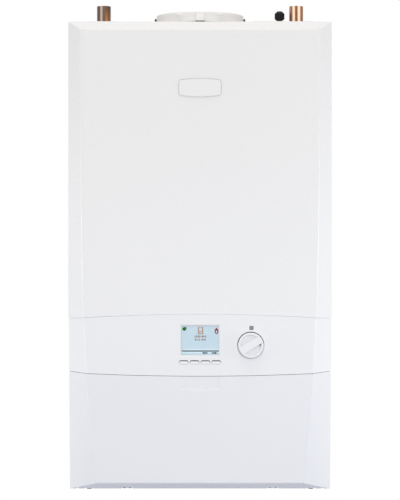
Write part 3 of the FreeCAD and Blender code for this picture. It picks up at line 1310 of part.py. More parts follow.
def mixture_duct():
    front = BURNER_DOOR_FRONT - DUCT_DEPTH
    body = duct_outline(0, front).extrude(ALONG_Y * DUCT_DEPTH)
    inside = duct_outline(DUCT_WALL, front + DUCT_WALL).extrude(ALONG_Y * (DUCT_DEPTH - 2 * DUCT_WALL))
    port = rod_y(BURNER_PORT_RADIUS, BURNER_DOOR_FRONT - DUCT_WALL, BURNER_DOOR_FRONT, 0, DRUM_HEIGHT)
    entry = block(FAN_X - FAN_NECK_LEFT + FAN_WALL, FAN_X - FAN_NECK_RIGHT - FAN_WALL, FAN_FRONT + FAN_WALL,
                  BURNER_DOOR_FRONT - FAN_WALL, DUCT_FLOOR, DUCT_FLOOR + DUCT_WALL)
    return body.cut([inside, port, entry]).removeSplitter()


def venturi():
    tail = FAN_REAR + VENTURI_LENGTH
    body = rod_y(VENTURI_RADIUS, FAN_REAR, tail, FAN_X, FAN_HEIGHT)
    port = rod_x(VENTURI_PORT_RADIUS, FAN_X, FAN_X + VENTURI_PORT_REACH, GAS_Y, FAN_HEIGHT)
    throat = rod_y(VENTURI_THROAT_RADIUS, FAN_REAR, tail, FAN_X, FAN_HEIGHT)
    mouth = Part.makeCone(VENTURI_THROAT_RADIUS, VENTURI_RADIUS - FAN_WALL, VENTURI_MOUTH,
                          FreeCAD.Vector(FAN_X, tail - VENTURI_MOUTH, FAN_HEIGHT), ALONG_Y)
    gas = rod_x(GAS_PIPE_BORE_RADIUS, FAN_X, FAN_X + VENTURI_PORT_REACH, GAS_Y, FAN_HEIGHT)
    return body.fuse(port).cut([throat, mouth, gas]).removeSplitter()


# Gas run

def gas_pipe():
    points = [FreeCAD.Vector(GAS_X, GAS_Y, GAS_VALVE_HIGH), FreeCAD.Vector(GAS_X, GAS_Y, FAN_HEIGHT),
              FreeCAD.Vector(FAN_X + VENTURI_PORT_REACH, GAS_Y, FAN_HEIGHT)]
    outer = tube_along(points, GAS_PIPE_BEND, GAS_PIPE_RADIUS)
    return outer.cut(tube_along(points, GAS_PIPE_BEND, GAS_PIPE_BORE_RADIUS))


def gas_valve():
    half_x = GAS_VALVE_WIDTH / 2
    half_y = GAS_VALVE_DEPTH / 2
    body = block(GAS_X - half_x, GAS_X + half_x, GAS_Y - half_y, GAS_Y + half_y, GAS_VALVE_LOW, GAS_VALVE_HIGH)
    middle = (GAS_VALVE_LOW + GAS_VALVE_HIGH) / 2
    valve_side = GAS_X - half_x
    solenoid = rod_x(GAS_SOLENOID_RADIUS, valve_side - GAS_SOLENOID_LENGTH, valve_side, GAS_Y, middle)
    spigot = rod_z(GAS_SPIGOT_RADIUS, COCK_HIGH, GAS_VALVE_LOW, GAS_X, GAS_Y)
    bore = rod_z(GAS_PIPE_BORE_RADIUS, COCK_HIGH, GAS_VALVE_HIGH, GAS_X, GAS_Y)
    return body.fuse([solenoid, spigot]).cut(bore).removeSplitter()


def gas_cock():
    body = rod_z(COCK_RADIUS, COCK_LOW, COCK_HIGH, GAS_X, GAS_Y)
    nut = hexagon(COCK_NUT_FLATS, FreeCAD.Vector(GAS_X, GAS_Y, COCK_LOW), ALONG_X, ALONG_Y)
    upper_foot = FreeCAD.Vector(GAS_X, GAS_Y, COCK_HIGH - COCK_NUT_HEIGHT)
    upper = hexagon(COCK_NUT_FLATS, upper_foot, ALONG_X, ALONG_Y)
    shape = body.fuse([nut.extrude(ALONG_Z * COCK_NUT_HEIGHT), upper.extrude(ALONG_Z * COCK_NUT_HEIGHT)])
    socket = rod_z(GAS_PIPE_RADIUS + COCK_SOCKET_FIT, COCK_LOW, COCK_LOW + COCK_SOCKET_DEPTH, GAS_X, GAS_Y)
    way = rod_z(GAS_PIPE_BORE_RADIUS, LEVER_HEIGHT + LEVER_HUB_RADIUS, COCK_HIGH, GAS_X, GAS_Y)
    spindle = rod_y(LEVER_SPINDLE_RADIUS + RUNNING_FIT, COCK_FACE, COCK_FACE + LEVER_SPINDLE_DEPTH, GAS_X,
                    LEVER_HEIGHT)
    return shape.cut([socket, way, spindle]).removeSplitter()


def gas_cock_lever():
    rear = COCK_FACE - SEAT_GAP
    front = rear - LEVER_HUB
    hub = rod_y(LEVER_HUB_RADIUS, front, rear, GAS_X, LEVER_HEIGHT)
    spindle = rod_y(LEVER_SPINDLE_RADIUS, rear, COCK_FACE + LEVER_SPINDLE_DEPTH - SEAT_GAP, GAS_X, LEVER_HEIGHT)
    bar = block(GAS_X - LEVER_WIDTH / 2, GAS_X + LEVER_WIDTH / 2, front, front + LEVER_THICKNESS, LEVER_HEIGHT,
                LEVER_HEIGHT + LEVER_LENGTH)
    return hub.fuse([spindle, bar]).removeSplitter()


def spark_generator():
    return block(SIDE_INNER - SPARK_BOX_WIDTH, SIDE_INNER, SPARK_BOX_FRONT, SPARK_BOX_REAR, SPARK_BOX_LOW,
                 SPARK_BOX_HIGH)


# Water pipes

def water_pipe(side):
    height = DRUM_HEIGHT + side * BOSS_OFFSET
    points = [FreeCAD.Vector(side * BOSS_REACH, PIPE_Y, height), FreeCAD.Vector(side * PIPE_X, PIPE_Y, height),
              FreeCAD.Vector(side * PIPE_X, PIPE_Y, PIPE_TOP)]
    outer = tube_along(points, PIPE_BEND, PIPE_RADIUS)
    mark = mark_ring(PIPE_RADIUS, PIPE_MARK_HEIGHT, side * PIPE_X, PIPE_Y)
    return outer.cut(tube_along(points, PIPE_BEND, PIPE_BORE_RADIUS)).cut(mark)


def union_nut(side):
    height = DRUM_HEIGHT + side * BOSS_OFFSET
    start = FreeCAD.Vector(side * BOSS_REACH, PIPE_Y, height)
    body = hexagon(NUT_FLATS, start, ALONG_Y, ALONG_Z).extrude(ALONG_X * side * NUT_LENGTH)
    low = min(side * BOSS_REACH, side * (BOSS_REACH + NUT_LENGTH))
    return body.cut(rod_x(PIPE_RADIUS + NUT_FIT, low, low + NUT_LENGTH, PIPE_Y, height))


def air_vent():
    top = VENT_ARM_HEIGHT + VENT_ARM_THICKNESS
    clamp = rod_z(VENT_CLAMP_RADIUS, VENT_ARM_HEIGHT, top, PIPE_X, PIPE_Y)
    body = rod_z(VENT_BODY_RADIUS, VENT_ARM_HEIGHT, VENT_BODY_TOP, VENT_X, PIPE_Y)
    arm = block(VENT_X, PIPE_X, PIPE_Y - VENT_NECK_RADIUS, PIPE_Y + VENT_NECK_RADIUS, VENT_ARM_HEIGHT, top)
    neck = rod_z(VENT_NECK_RADIUS, VENT_BODY_TOP, VENT_SHOULDER_HEIGHT, VENT_X, PIPE_Y)
    stem_top = VENT_SHOULDER_HEIGHT + VENT_STEM_LENGTH
    stem = rod_z(VENT_STEM_RADIUS, VENT_SHOULDER_HEIGHT, stem_top, VENT_X, PIPE_Y)
    hole = rod_z(PIPE_RADIUS + GROMMET_FIT, VENT_ARM_HEIGHT, VENT_BODY_TOP, PIPE_X, PIPE_Y)
    return clamp.fuse([body, arm, neck, stem]).cut(hole).removeSplitter()


def air_vent_cap():
    low = VENT_SHOULDER_HEIGHT + SEAT_GAP
    body = rod_z(VENT_CAP_RADIUS, low, low + VENT_CAP_HEIGHT, VENT_X, PIPE_Y)
    top_rim = [edge for edge in body.Edges if edge.BoundBox.ZMin > low + VENT_CAP_HEIGHT - SEAT_GAP]
    body = body.makeChamfer(VENT_CAP_CHAMFER, top_rim)
    foot_rim = [edge for edge in body.Edges if edge.BoundBox.ZMax < low + SEAT_GAP]
    body = body.makeChamfer(VENT_CAP_FOOT_CHAMFER, foot_rim)
    for index in range(VENT_CAP_GROOVES):
        angle = 2 * math.pi * index / VENT_CAP_GROOVES
        x = VENT_X + VENT_CAP_RADIUS * math.cos(angle)
        y = PIPE_Y + VENT_CAP_RADIUS * math.sin(angle)
        body = body.cut(rod_z(VENT_CAP_GROOVE_RADIUS, low, low + VENT_CAP_HEIGHT, x, y))
    stem_top = VENT_SHOULDER_HEIGHT + VENT_STEM_LENGTH + SEAT_GAP
    return body.cut(rod_z(VENT_STEM_RADIUS + RUNNING_FIT, low, stem_top, VENT_X, PIPE_Y))


def thermistor(side):
    low = DRUM_HEIGHT + BOSS_OFFSET + PIPE_BEND
    high = low + SENSOR_TALL
    x = side * PIPE_X
    bore = PIPE_RADIUS + GROMMET_FIT
    ring = rod_z(bore + SENSOR_CLIP, low, high, x, PIPE_Y)
    front = PIPE_Y - PIPE_RADIUS - SENSOR_REACH
    bulb = block(x - SENSOR_WIDTH / 2, x + SENSOR_WIDTH / 2, front, PIPE_Y, low, high)
    return ring.fuse(bulb).cut(rod_z(bore, low, high, x, PIPE_Y))


# Flue

def exhaust_riser():
    shape = rod_z(RISER_RADIUS, SPIGOT_TOP, RISER_TOP, 0, FLUE_Y)
    socket_foot = RISER_TOP - RISER_SOCKET_DEPTH
    groove = EXHAUST_SOCKET_RADIUS + SEAL_RADIAL
    way = EXHAUST_SOCKET_RADIUS - RISER_STEP
    return shape.cut([rod_z(EXHAUST_SOCKET_RADIUS, socket_foot, RISER_TOP, 0, FLUE_Y),
                      rod_z(groove, socket_foot - SEAL_HEIGHT, socket_foot, 0, FLUE_Y),
                      rod_z(way, SPIGOT_TOP, socket_foot, 0, FLUE_Y)]).removeSplitter()


def collar_body():
    """Turned double wall: socket for the air duct inside, flared skirt outside, joined by a rounded rim."""
    flange_top = CASE_HEIGHT + COLLAR_FLANGE_THICKNESS
    neck = AIR_SOCKET_RADIUS + COLLAR_WALL
    skirt = COLLAR_WAIST_RADIUS - COLLAR_WALL
    rim_foot = COLLAR_TOP - COLLAR_WALL
    band_foot = COLLAR_TOP - COLLAR_BAND
    points = [(AIR_SOCKET_RADIUS, COLLAR_NECK_FOOT), (neck, COLLAR_NECK_FOOT), (neck, rim_foot),
              (skirt, rim_foot), (skirt, CASE_HEIGHT), (COLLAR_FLANGE_RADIUS, CASE_HEIGHT),
              (COLLAR_FLANGE_RADIUS, flange_top), (COLLAR_WAIST_RADIUS, flange_top),
              (COLLAR_WAIST_RADIUS, band_foot - COLLAR_FLARE), (COLLAR_RADIUS, band_foot),
              (COLLAR_RADIUS, COLLAR_TOP), (AIR_SOCKET_RADIUS, COLLAR_TOP)]
    outline = face_of([FreeCAD.Vector(r, FLUE_Y, z) for r, z in points])
    body = outline.revolve(FreeCAD.Vector(0, FLUE_Y, 0), ALONG_Z, 360)
    rims = [edge for edge in body.Edges if edge.BoundBox.ZMin > COLLAR_TOP - SEAT_GAP
            and edge.BoundBox.XMax > COLLAR_RADIUS - SEAT_GAP]
    return body.makeFillet(COLLAR_ROUND, rims)


def collar_lug():
    """Rounded lug on the front of the collar's skirt."""
    front = FLUE_Y - COLLAR_RADIUS - LUG_REACH
    lug = block(-LUG_WIDTH / 2, LUG_WIDTH / 2, front, FLUE_Y - COLLAR_WAIST_RADIUS + COLLAR_WALL, CASE_HEIGHT,
                COLLAR_TOP - COLLAR_WALL)
    corners = [edge for edge in lug.Edges
               if edge.BoundBox.ZMin > CASE_HEIGHT and edge.BoundBox.XLength < LUG_ROUND]
    return lug.makeFillet(LUG_ROUND, corners)


def lug_grooves():
    """Groove in the skirt at each side of the lug, and the slot under its foot."""
    front = FLUE_Y - COLLAR_RADIUS - LUG_REACH
    waist = FLUE_Y - COLLAR_WAIST_RADIUS
    foot = CASE_HEIGHT + COLLAR_FLANGE_THICKNESS
    inner = LUG_WIDTH / 2
    outer = inner + LUG_GROOVE
    groove = block(inner, outer, front, waist + LUG_GROOVE_DEPTH, foot, COLLAR_TOP - COLLAR_WALL)
    slot = block(-outer, outer, front, waist + LUG_SLOT_DEPTH, foot, foot + LUG_SLOT_TALL)
    return [groove, mirrored(groove), slot]


def flue_collar():
    skirt = COLLAR_WAIST_RADIUS - COLLAR_WALL
    shape = collar_body().fuse(collar_lug()).cut(lug_grooves())
    height = CASE_HEIGHT + FLUE_SCREW_HEIGHT
    pad_top = COLLAR_TOP - COLLAR_BAND
    pad_rear = FLUE_Y - math.sqrt(COLLAR_WAIST_RADIUS ** 2 - PAD_SPREAD ** 2)
    pad_front = FLUE_Y - math.sqrt(COLLAR_RADIUS ** 2 - PAD_SPREAD ** 2) - PAD_DEPTH
    for side in (-1, 1):
        middle = side * PAD_SPREAD
        pad = block(middle - PAD_WIDTH / 2, middle + PAD_WIDTH / 2, pad_front, pad_rear, pad_top - PAD_HEIGHT,
                    pad_top)
        boss = rod_x(FLUE_SCREW_BOSS_RADIUS, skirt, FLUE_SCREW_SEAT, FLUE_Y, height)
        hole = rod_x(FLUE_SCREW_RADIUS + SCREW_FIT, skirt, FLUE_SCREW_SEAT, FLUE_Y, height)
        if side < 0:
            boss = mirrored(boss)
            hole = mirrored(hole)
        shape = shape.fuse([pad, boss]).cut(hole)
    return shape.removeSplitter()


def flue_screw(side):
    height = CASE_HEIGHT + FLUE_SCREW_HEIGHT
    shank = rod_x(FLUE_SCREW_RADIUS, COLLAR_WAIST_RADIUS - COLLAR_WALL, FLUE_SCREW_SEAT, FLUE_Y, height)
    head = rod_x(FLUE_SCREW_HEAD_RADIUS, FLUE_SCREW_SEAT, FLUE_SCREW_SEAT + FLUE_SCREW_HEAD, FLUE_Y, height)
    screw = shank.fuse(head)
    return screw if side > 0 else mirrored(screw)


def seal_ring(inner, outer, foot):
    disc = rod_z(outer, foot, foot + SEAL_HEIGHT, 0, FLUE_Y)
    return disc.cut(rod_z(inner, foot, foot + SEAL_HEIGHT, 0, FLUE_Y))


def flue_seals():
    """Both duct seals, drawn pressed back as they are with the ducts in place."""
    outer = seal_ring(AIR_SOCKET_RADIUS + SEAL_SLACK, AIR_SOCKET_RADIUS + COLLAR_WALL,
                      COLLAR_NECK_FOOT - SEAL_HEIGHT)
    inner = seal_ring(EXHAUST_SOCKET_RADIUS + SEAL_SLACK, EXHAUST_SOCKET_RADIUS + SEAL_RADIAL - RUNNING_FIT,
                      RISER_TOP - RISER_SOCKET_DEPTH - SEAL_HEIGHT)
    return outer, inner


# Condensate

def condensate_trap():
    body = rod_z(TRAP_RADIUS, TRAP_LOW, TRAP_HIGH, 0, DRAIN_Y)
    cup = rod_z(TRAP_CUP_RADIUS, TRAP_LOW, TRAP_LOW + TRAP_CUP_HEIGHT, 0, DRAIN_Y)
    neck = rod_z(TRAP_OUTLET_RADIUS, TRAP_HIGH, DRAIN_FOOT, 0, DRAIN_Y)
    outlet = rod_x(TRAP_OUTLET_RADIUS, -TRAP_OUTLET_REACH, 0, DRAIN_Y, TRAP_OUTLET_HEIGHT)
    inside = rod_z(TRAP_RADIUS - PLASTIC, TRAP_LOW + PLASTIC, TRAP_HIGH - PLASTIC, 0, DRAIN_Y)
    inlet = rod_z(DRAIN_RADIUS - DRAIN_WALL, TRAP_HIGH - PLASTIC, DRAIN_FOOT, 0, DRAIN_Y)
    spout = rod_x(WASTE_BORE_RADIUS, -TRAP_OUTLET_REACH, 0, DRAIN_Y, TRAP_OUTLET_HEIGHT)
    return body.fuse([cup, neck, outlet]).cut([inside, inlet, spout]).removeSplitter()


def condensate_pipe():
    points = [FreeCAD.Vector(-TRAP_OUTLET_REACH, DRAIN_Y, TRAP_OUTLET_HEIGHT),
              FreeCAD.Vector(WASTE_X, DRAIN_Y, TRAP_OUTLET_HEIGHT), FreeCAD.Vector(WASTE_X, DRAIN_Y, WASTE_END)]
    outer = tube_along(points, WASTE_BEND, WASTE_RADIUS)
    mark = mark_ring(WASTE_RADIUS, WASTE_MARK_HEIGHT, WASTE_X, DRAIN_Y)
    return outer.cut(tube_along(points, WASTE_BEND, WASTE_BORE_RADIUS)).cut(mark)


# Cable entry

def cable_gland():
    thread = rod_z(GLAND_THREAD_RADIUS, FLOOR_HEIGHT, FLOOR_TOP + GLAND_THREAD, GLAND_X, GLAND_Y)
    below = FreeCAD.Vector(GLAND_X, GLAND_Y, FLOOR_HEIGHT - GLAND_HEX)
    shoulder = hexagon(GLAND_FLATS, below, ALONG_X, ALONG_Y).extrude(ALONG_Z * GLAND_HEX)
    dome_foot = FLOOR_HEIGHT - GLAND_HEX - GLAND_DOME
    dome = rod_z(GLAND_DOME_RADIUS, dome_foot, FLOOR_HEIGHT - GLAND_HEX, GLAND_X, GLAND_Y)
    bore = rod_z(GLAND_BORE_RADIUS, dome_foot, FLOOR_TOP + GLAND_THREAD, GLAND_X, GLAND_Y)
    return thread.fuse([shoulder, dome]).cut(bore).removeSplitter()


os.makedirs("parts", exist_ok=True)
write("wall_bracket", wall_bracket())
write("back_panel", back_panel())
write("left_side_panel", mirrored(side_panel()))
write("right_side_panel", side_panel())
write("top_panel", top_panel())
write("pipe_sealing_plates", *sealing_plates())
write("rubber_seals", pipe_grommet(-1), pipe_grommet(1), *flue_seals())
write("bottom_panel", bottom_panel())
write("chamber_floor", chamber_floor())
write("chamber_cover", chamber_cover())
write("chamber_seal", chamber_seal())
write("front_panel", front_panel())
write("badge_plate", badge_plate())
write("control_fascia", control_fascia())
write("display_window", display_window())
write("display_module", display_module())
for number in range(BUTTON_COUNT):
    write("menu_button_" + str(number + 1), menu_button(number))
write("temperature_knob", temperature_knob())
write("knob_ring", knob_ring())
write("rotary_encoder", rotary_encoder())
write("control_box", control_box())
write("chassis_brackets", box_bracket(), mirrored(box_bracket()), exchanger_rail(RAIL_OFFSET),
      exchanger_rail(-RAIL_OFFSET))
write("circuit_boards", main_board(), interface_board())
write("board_components", *board_components(), *[push_switch(number) for number in range(BUTTON_COUNT)])
write("lower_door", lower_door())
write("door_catches", door_catch(), mirrored(door_catch()))
write("door_strikes", door_strike(), mirrored(door_strike()))
write("hinge_brackets", hinge_bracket(-HINGE_X), hinge_bracket(HINGE_X))
write("hinge_pins", hinge_pin(-HINGE_X), hinge_pin(HINGE_X))
write("heat_exchanger", heat_exchanger())
write("exchanger_coil", exchanger_coil())
write("burner_door", burner_door())
write("burner", burner())
write("electrodes", *[electrode(x, z) for x, z in ELECTRODE_PLACES])
write("burner_door_nuts", *[door_nut(index) for index in range(DOOR_NUT_COUNT)])
write("mixture_duct", mixture_duct())
write("fan_housing", fan_housing())
write("fan_motor", fan_motor())
write("fan_impeller", fan_impeller())
write("venturi", venturi())
write("gas_valve", gas_valve())
write("gas_pipe", gas_pipe())
write("gas_cock", gas_cock())
write("gas_cock_lever", gas_cock_lever())
write("spark_generator", spark_generator())
write("flow_pipe", water_pipe(1))
write("return_pipe", water_pipe(-1))
write("union_nuts", union_nut(1), union_nut(-1))
write("air_vent", air_vent())
write("air_vent_cap", air_vent_cap())
write("thermistors", thermistor(1), thermistor(-1))
write("exhaust_riser", exhaust_riser())
write("flue_collar", flue_collar())
write("condensate_trap", condensate_trap())
write("condensate_pipe", condensate_pipe())
write("cable_gland", cable_gland())
write("casing_screws", flue_screw(1), flue_screw(-1), floor_screw(1), floor_screw(-1))
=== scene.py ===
import math

import bmesh
import bpy
from mathutils import Matrix, Vector


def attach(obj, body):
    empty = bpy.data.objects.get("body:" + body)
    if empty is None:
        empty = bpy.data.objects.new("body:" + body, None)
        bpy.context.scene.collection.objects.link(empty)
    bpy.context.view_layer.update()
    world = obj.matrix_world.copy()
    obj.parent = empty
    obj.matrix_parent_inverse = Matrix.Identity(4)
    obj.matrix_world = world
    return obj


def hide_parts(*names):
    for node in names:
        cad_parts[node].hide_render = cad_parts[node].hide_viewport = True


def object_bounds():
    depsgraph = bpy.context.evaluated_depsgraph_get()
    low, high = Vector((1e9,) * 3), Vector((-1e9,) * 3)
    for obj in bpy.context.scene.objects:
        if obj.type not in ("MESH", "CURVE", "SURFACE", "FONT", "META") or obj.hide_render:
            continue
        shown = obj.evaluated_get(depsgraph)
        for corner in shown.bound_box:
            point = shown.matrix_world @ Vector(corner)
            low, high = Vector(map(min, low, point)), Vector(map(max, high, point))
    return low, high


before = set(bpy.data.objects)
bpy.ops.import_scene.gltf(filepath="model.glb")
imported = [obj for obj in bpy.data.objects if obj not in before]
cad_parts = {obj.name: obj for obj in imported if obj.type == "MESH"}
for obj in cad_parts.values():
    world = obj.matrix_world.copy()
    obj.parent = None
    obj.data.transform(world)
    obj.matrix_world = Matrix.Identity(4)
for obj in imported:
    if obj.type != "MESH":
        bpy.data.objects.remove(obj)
cad_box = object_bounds()

# A wall-hung gas boiler. The frame is in metres, +Z up, and the front looks along -Y. The sizes of pieces
# are in millimetres, as on a maker's drawing, with heights from the bottom of the casing.
MM = 0.001
CASING_FOOT = -0.640
FACE = -278.0

DISPLAY_HEIGHT = 223.8
DISPLAY_WIDTH = 56.0
DISPLAY_TALL = 43.4
# Depths behind the face over which the buttons' flange turns dark, as painted shade in the gap round each
# cap.
BUTTON_PAINTED_SHADE_FRONT = FACE + 1.2
BUTTON_PAINTED_SHADE_REAR = FACE + 1.8

KNOB_X = 75.1
KNOB_HEIGHT = 216.6
KNOB_FRONT = -285.5
KNOB_POCKET_DEPTH = 3.0
WEDGE_SINK = 0.4
# The knob ring's painted light is full this far below the knob's middle, and its painted shade this far
# above.
RING_PAINTED_LIGHT_BELOW = 7.0
RING_PAINTED_SHADE_ABOVE = 9.0
SIGN_X = KNOB_X + 1.1
SIGN_HEIGHT = 242.2
SIGN_INK = 0.06
SIGN_COLUMNS = 5
SIGN_COLUMN_PITCH = 1.25

BADGE_HEIGHT = 597.8
BADGE_WIDTH = 63.4
BADGE_TALL = 28.2
BADGE_END_TALL = 24.0
BADGE_CORNER = 3.4
BADGE_THICKNESS = 1.0
BADGE_LINE_OUTER = 0.2
BADGE_LINE_INNER = 1.1
BADGE_LINE_THICKNESS = 0.2

PIPE_X = 152.4
PIPE_RADIUS = 11.0
PIPE_END = 742.0
STAIN_FADE = 22.0
GAS_PIPE_X = 100.0

FLUE_Y = -140.0
# The dark ring under the flue collar, which paints the shade at its foot, and its tongue, which paints the
# shadow under the lug.
SHADE_GASKET_FOOT = 702.05
SHADE_GASKET_TALL = 2.4
SHADE_GASKET_INNER = 66.05
SHADE_GASKET_OUTER = 66.6
SHADE_GASKET_TONGUE = 14.2
SHADE_GASKET_REACH = 4.6
TONGUE_BEVEL = 0.3


# Shader values and finishes

class Value:
    """A number that varies over a surface, so that patterns are written as ordinary sums."""

    def __init__(self, finish, socket):
        self.finish = finish
        self.socket = socket

    def sum(self, operation, first, second):
        return self.finish.node("Math", {"operation": operation}, {0: first, 1: second})

    def __add__(self, other):
        return self.sum("ADD", self, other)

    def __radd__(self, other):
        return self.sum("ADD", other, self)

    def __sub__(self, other):
        return self.sum("SUBTRACT", self, other)

    def __rsub__(self, other):
        return self.sum("SUBTRACT", other, self)

    def __mul__(self, other):
        return self.sum("MULTIPLY", self, other)

    def __rmul__(self, other):
        return self.sum("MULTIPLY", other, self)


class Finish:
    """The nodes of one finish. Patterns read Object coordinates, in metres, so they stay on the piece."""

    def __init__(self, tree):
        self.tree = tree
        self.tree.nodes.clear()
        self.places = {}

    def node(self, kind, settings=None, inputs=None, output=0):
        made = self.tree.nodes.new("ShaderNode" + kind)
        for name, setting in (settings or {}).items():
            setattr(made, name, setting)
        for name, given in (inputs or {}).items():
            if isinstance(given, Value):
                self.tree.links.new(given.socket, made.inputs[name])
            else:
                made.inputs[name].default_value = given
        return Value(self, made.outputs[output]) if made.outputs else None

    def place(self, stretch=(1, 1, 1)):
        if stretch not in self.places:
            place = self.node("TexCoord", output="Object")
            self.places[stretch] = self.node("Mapping", inputs={"Vector": place, "Scale": stretch})
        return self.places[stretch]

    def grain(self, scale, detail=2.0, stretch=(1, 1, 1)):
        return self.node("TexNoise", inputs={"Vector": self.place(stretch), "Scale": scale, "Detail": detail})

    def cells(self, scale, feature="F1", output="Distance"):
        return self.node("TexVoronoi", {"feature": feature}, {"Vector": self.place(), "Scale": scale}, output)

    def along(self, axis):
        return self.node("SeparateXYZ", inputs={"Vector": self.place()}, output=axis)

    def between(self, value, low, high):
        """0 at low and 1 at high, with a soft step from one to the other."""
        return self.node("MapRange", {"interpolation_type": "SMOOTHSTEP"},
                         {"Value": value, "From Min": low, "From Max": high})

    def tint(self, share, first, second):
        """From the first colour to the second as the share goes from 0 to 1."""
        return self.node("Mix", {"data_type": "RGBA"}, {0: share, 6: first, 7: second}, output=2)

    def bump(self, height, depth, strength=1.0):
        return self.node("Bump", inputs={"Height": height, "Distance": depth, "Strength": strength})

    def surface(self, sockets):
        shader = self.node("BsdfPrincipled", inputs=sockets)
        self.node("OutputMaterial", inputs={"Surface": shader})


def linear(red, green, blue):
    """A colour as it is seen on a screen, from 0 to 255, as the linear values that a shader takes."""
    levels = []
    for level in (red, green, blue):
        share = level / 255
        levels.append(share / 12.92 if share <= 0.04045 else ((share + 0.055) / 1.055) ** 2.4)
    return (*levels, 1.0)


def up_from_foot(height):
    """A height from the bottom of the casing, in millimetres, as a height in the frame."""
    return CASING_FOOT + height * MM


def new_finish(name):
    material = bpy.data.materials.new(name)
    material.use_nodes = True
    return material, Finish(material.node_tree)


def coated_white(name, pale, deep, gloss, skin_depth, skin_scale=1300.0):
    """White paint or moulding: faint clouding, slightly uneven gloss and a fine skin texture."""
    material, finish = new_finish(name)
    skin = finish.grain(skin_scale)
    cloud = finish.grain(7.0, detail=3.0)
    finish.surface({
        "Base Color": finish.tint(cloud, pale, deep),
        "Roughness": gloss + 0.04 * finish.grain(900.0),
        "Normal": finish.bump(skin, skin_depth)})
    return material


def galvanised_steel():
    """Zinc-dipped sheet with its spangle of crystals."""
    material, finish = new_finish("galvanised_steel")
    spangle_scale = 140.0
    crystal = finish.node("SeparateColor", inputs={0: finish.cells(spangle_scale, output="Color")})
    edge = finish.between(finish.cells(spangle_scale, "DISTANCE_TO_EDGE"), 0.0, 0.05)
    finish.surface({
        "Base Color": finish.tint(crystal, linear(168, 171, 174), linear(205, 207, 209)),
        "Metallic": 0.85,
        "Roughness": 0.34 + 0.22 * crystal + 0.06 * finish.grain(300.0),
        "Normal": finish.bump(edge, 0.00004)})
    return material


def bare_metal(name, pale, deep, gloss, grain_depth, grain_scale=900.0, stretch=(1, 1, 1)):
    """Cast or drawn metal: two tones in a cloud, and a grain that is round on castings and long on sheet."""
    material, finish = new_finish(name)
    grain = finish.grain(grain_scale, detail=4.0, stretch=stretch)
    cloud = finish.between(finish.grain(28.0, detail=4.0), 0.3, 0.7)
    finish.surface({
        "Base Color": finish.tint(cloud, pale, deep),
        "Metallic": 1.0,
        "Roughness": gloss + 0.18 * grain,
        "Normal": finish.bump(grain, grain_depth)})
    return material


def streaks(finish, across, places):
    """Soft streaks along a tube. Each is its place across the tube, from -1 to 1, and its strength."""
    half_width = 0.30
    core = 0.02
    total = 0.0
    for place, strength in places:
        off = finish.node("Math", {"operation": "ABSOLUTE"}, {0: across - place})
        total = total + strength * finish.between(off, half_width, core)
    return total


def copper_tube(name, pale, deep, stain_and_reflection, gloss, middle, painted_highlights, stains_and_painted_reflections, clean_end=0.0):
    """Drawn copper: tarnished, with streaks along an upright tube and a few blotches. The light streaks are
    painted highlights, and the streaks in the blotches' colour are stains and painted reflections.

    The middle is the tube's place along X. These stains and reflections lose the share given as clean_end on
    their way up to the tube's end."""
    material, finish = new_finish(name)
    waver = 0.10 * finish.grain(60.0, stretch=(1, 1, 0.2)) - 0.05
    across = (finish.along("X") - middle * MM) * (1 / (PIPE_RADIUS * MM)) + waver
    drawn = finish.grain(150.0, detail=3.0, stretch=(1, 1, 0.02))
    # Painted highlights: light streaks that stand for lamps mirrored in the tube, over the drawn lines.
    bright = 0.12 * drawn + streaks(finish, across, painted_highlights)
    blotch = finish.between(finish.grain(70.0, detail=4.0, stretch=(1, 1, 0.5)), 0.62, 0.74)
    near_end = finish.between(finish.along("Z"), up_from_foot(PIPE_END - STAIN_FADE), up_from_foot(PIPE_END))
    kept = 1 - clean_end * near_end
    # Tarnish blotches, and streaks in the same colour that are stains and painted reflections.
    patch = blotch + kept * streaks(finish, across, stains_and_painted_reflections)
    fine = finish.grain(1500.0, stretch=(1, 1, 0.02))
    finish.surface({
        "Base Color": finish.tint(patch, finish.tint(bright, deep, pale), stain_and_reflection),
        "Metallic": 1.0,
        "Roughness": gloss + 0.14 * blotch + 0.08 * fine,
        "Normal": finish.bump(fine, 0.00002)})
    return material


def dark_moulding(name, pale, deep, gloss, skin_depth):
    """Dark plastic, rubber or black paint with a fine spark-eroded skin."""
    material, finish = new_finish(name)
    skin = finish.grain(1400.0, detail=3.0)
    finish.surface({
        "Base Color": finish.tint(finish.grain(60.0, detail=4.0), pale, deep),
        "Roughness": gloss + 0.16 * skin,
        "Specular IOR Level": 0.25,
        "Normal": finish.bump(skin, skin_depth)})
    return material


def painted_shade_ring():
    """The ring round the knob: painted shade darkens its top, and painted light fades it to pale grey at its
    foot.
    """
    material, finish = new_finish("knob_ring_painted_shade")
    # Painted shade and painted light: the ring goes from pale at its foot to dark at its top, by height about
    # the knob.
    painted_shade_share = finish.between(finish.along("Z"), up_from_foot(KNOB_HEIGHT - RING_PAINTED_LIGHT_BELOW),
                            up_from_foot(KNOB_HEIGHT + RING_PAINTED_SHADE_ABOVE))
    skin = finish.grain(1400.0, detail=3.0)
    finish.surface({
        "Base Color": finish.tint(painted_shade_share, linear(204, 202, 206), linear(44, 41, 50)),
        "Roughness": 0.35 + 0.16 * skin,
        "Specular IOR Level": 0.25,
        "Normal": finish.bump(skin, 0.00001)})
    return material


def circuit_board():
    """Green lacquer over copper tracks, with tinned points."""
    material, finish = new_finish("circuit_board")
    track = finish.between(finish.cells(260.0, "DISTANCE_TO_EDGE"), 0.05, 0.09)
    point = finish.between(finish.cells(420.0), 0.10, 0.16)
    lacquer = finish.tint(track, linear(52, 128, 70), linear(22, 92, 48))
    finish.surface({
        "Base Color": finish.tint(point, linear(190, 190, 180), lacquer),
        "Roughness": 0.30 + 0.12 * finish.grain(300.0),
        "Normal": finish.bump(track, 0.00005)})
    return material


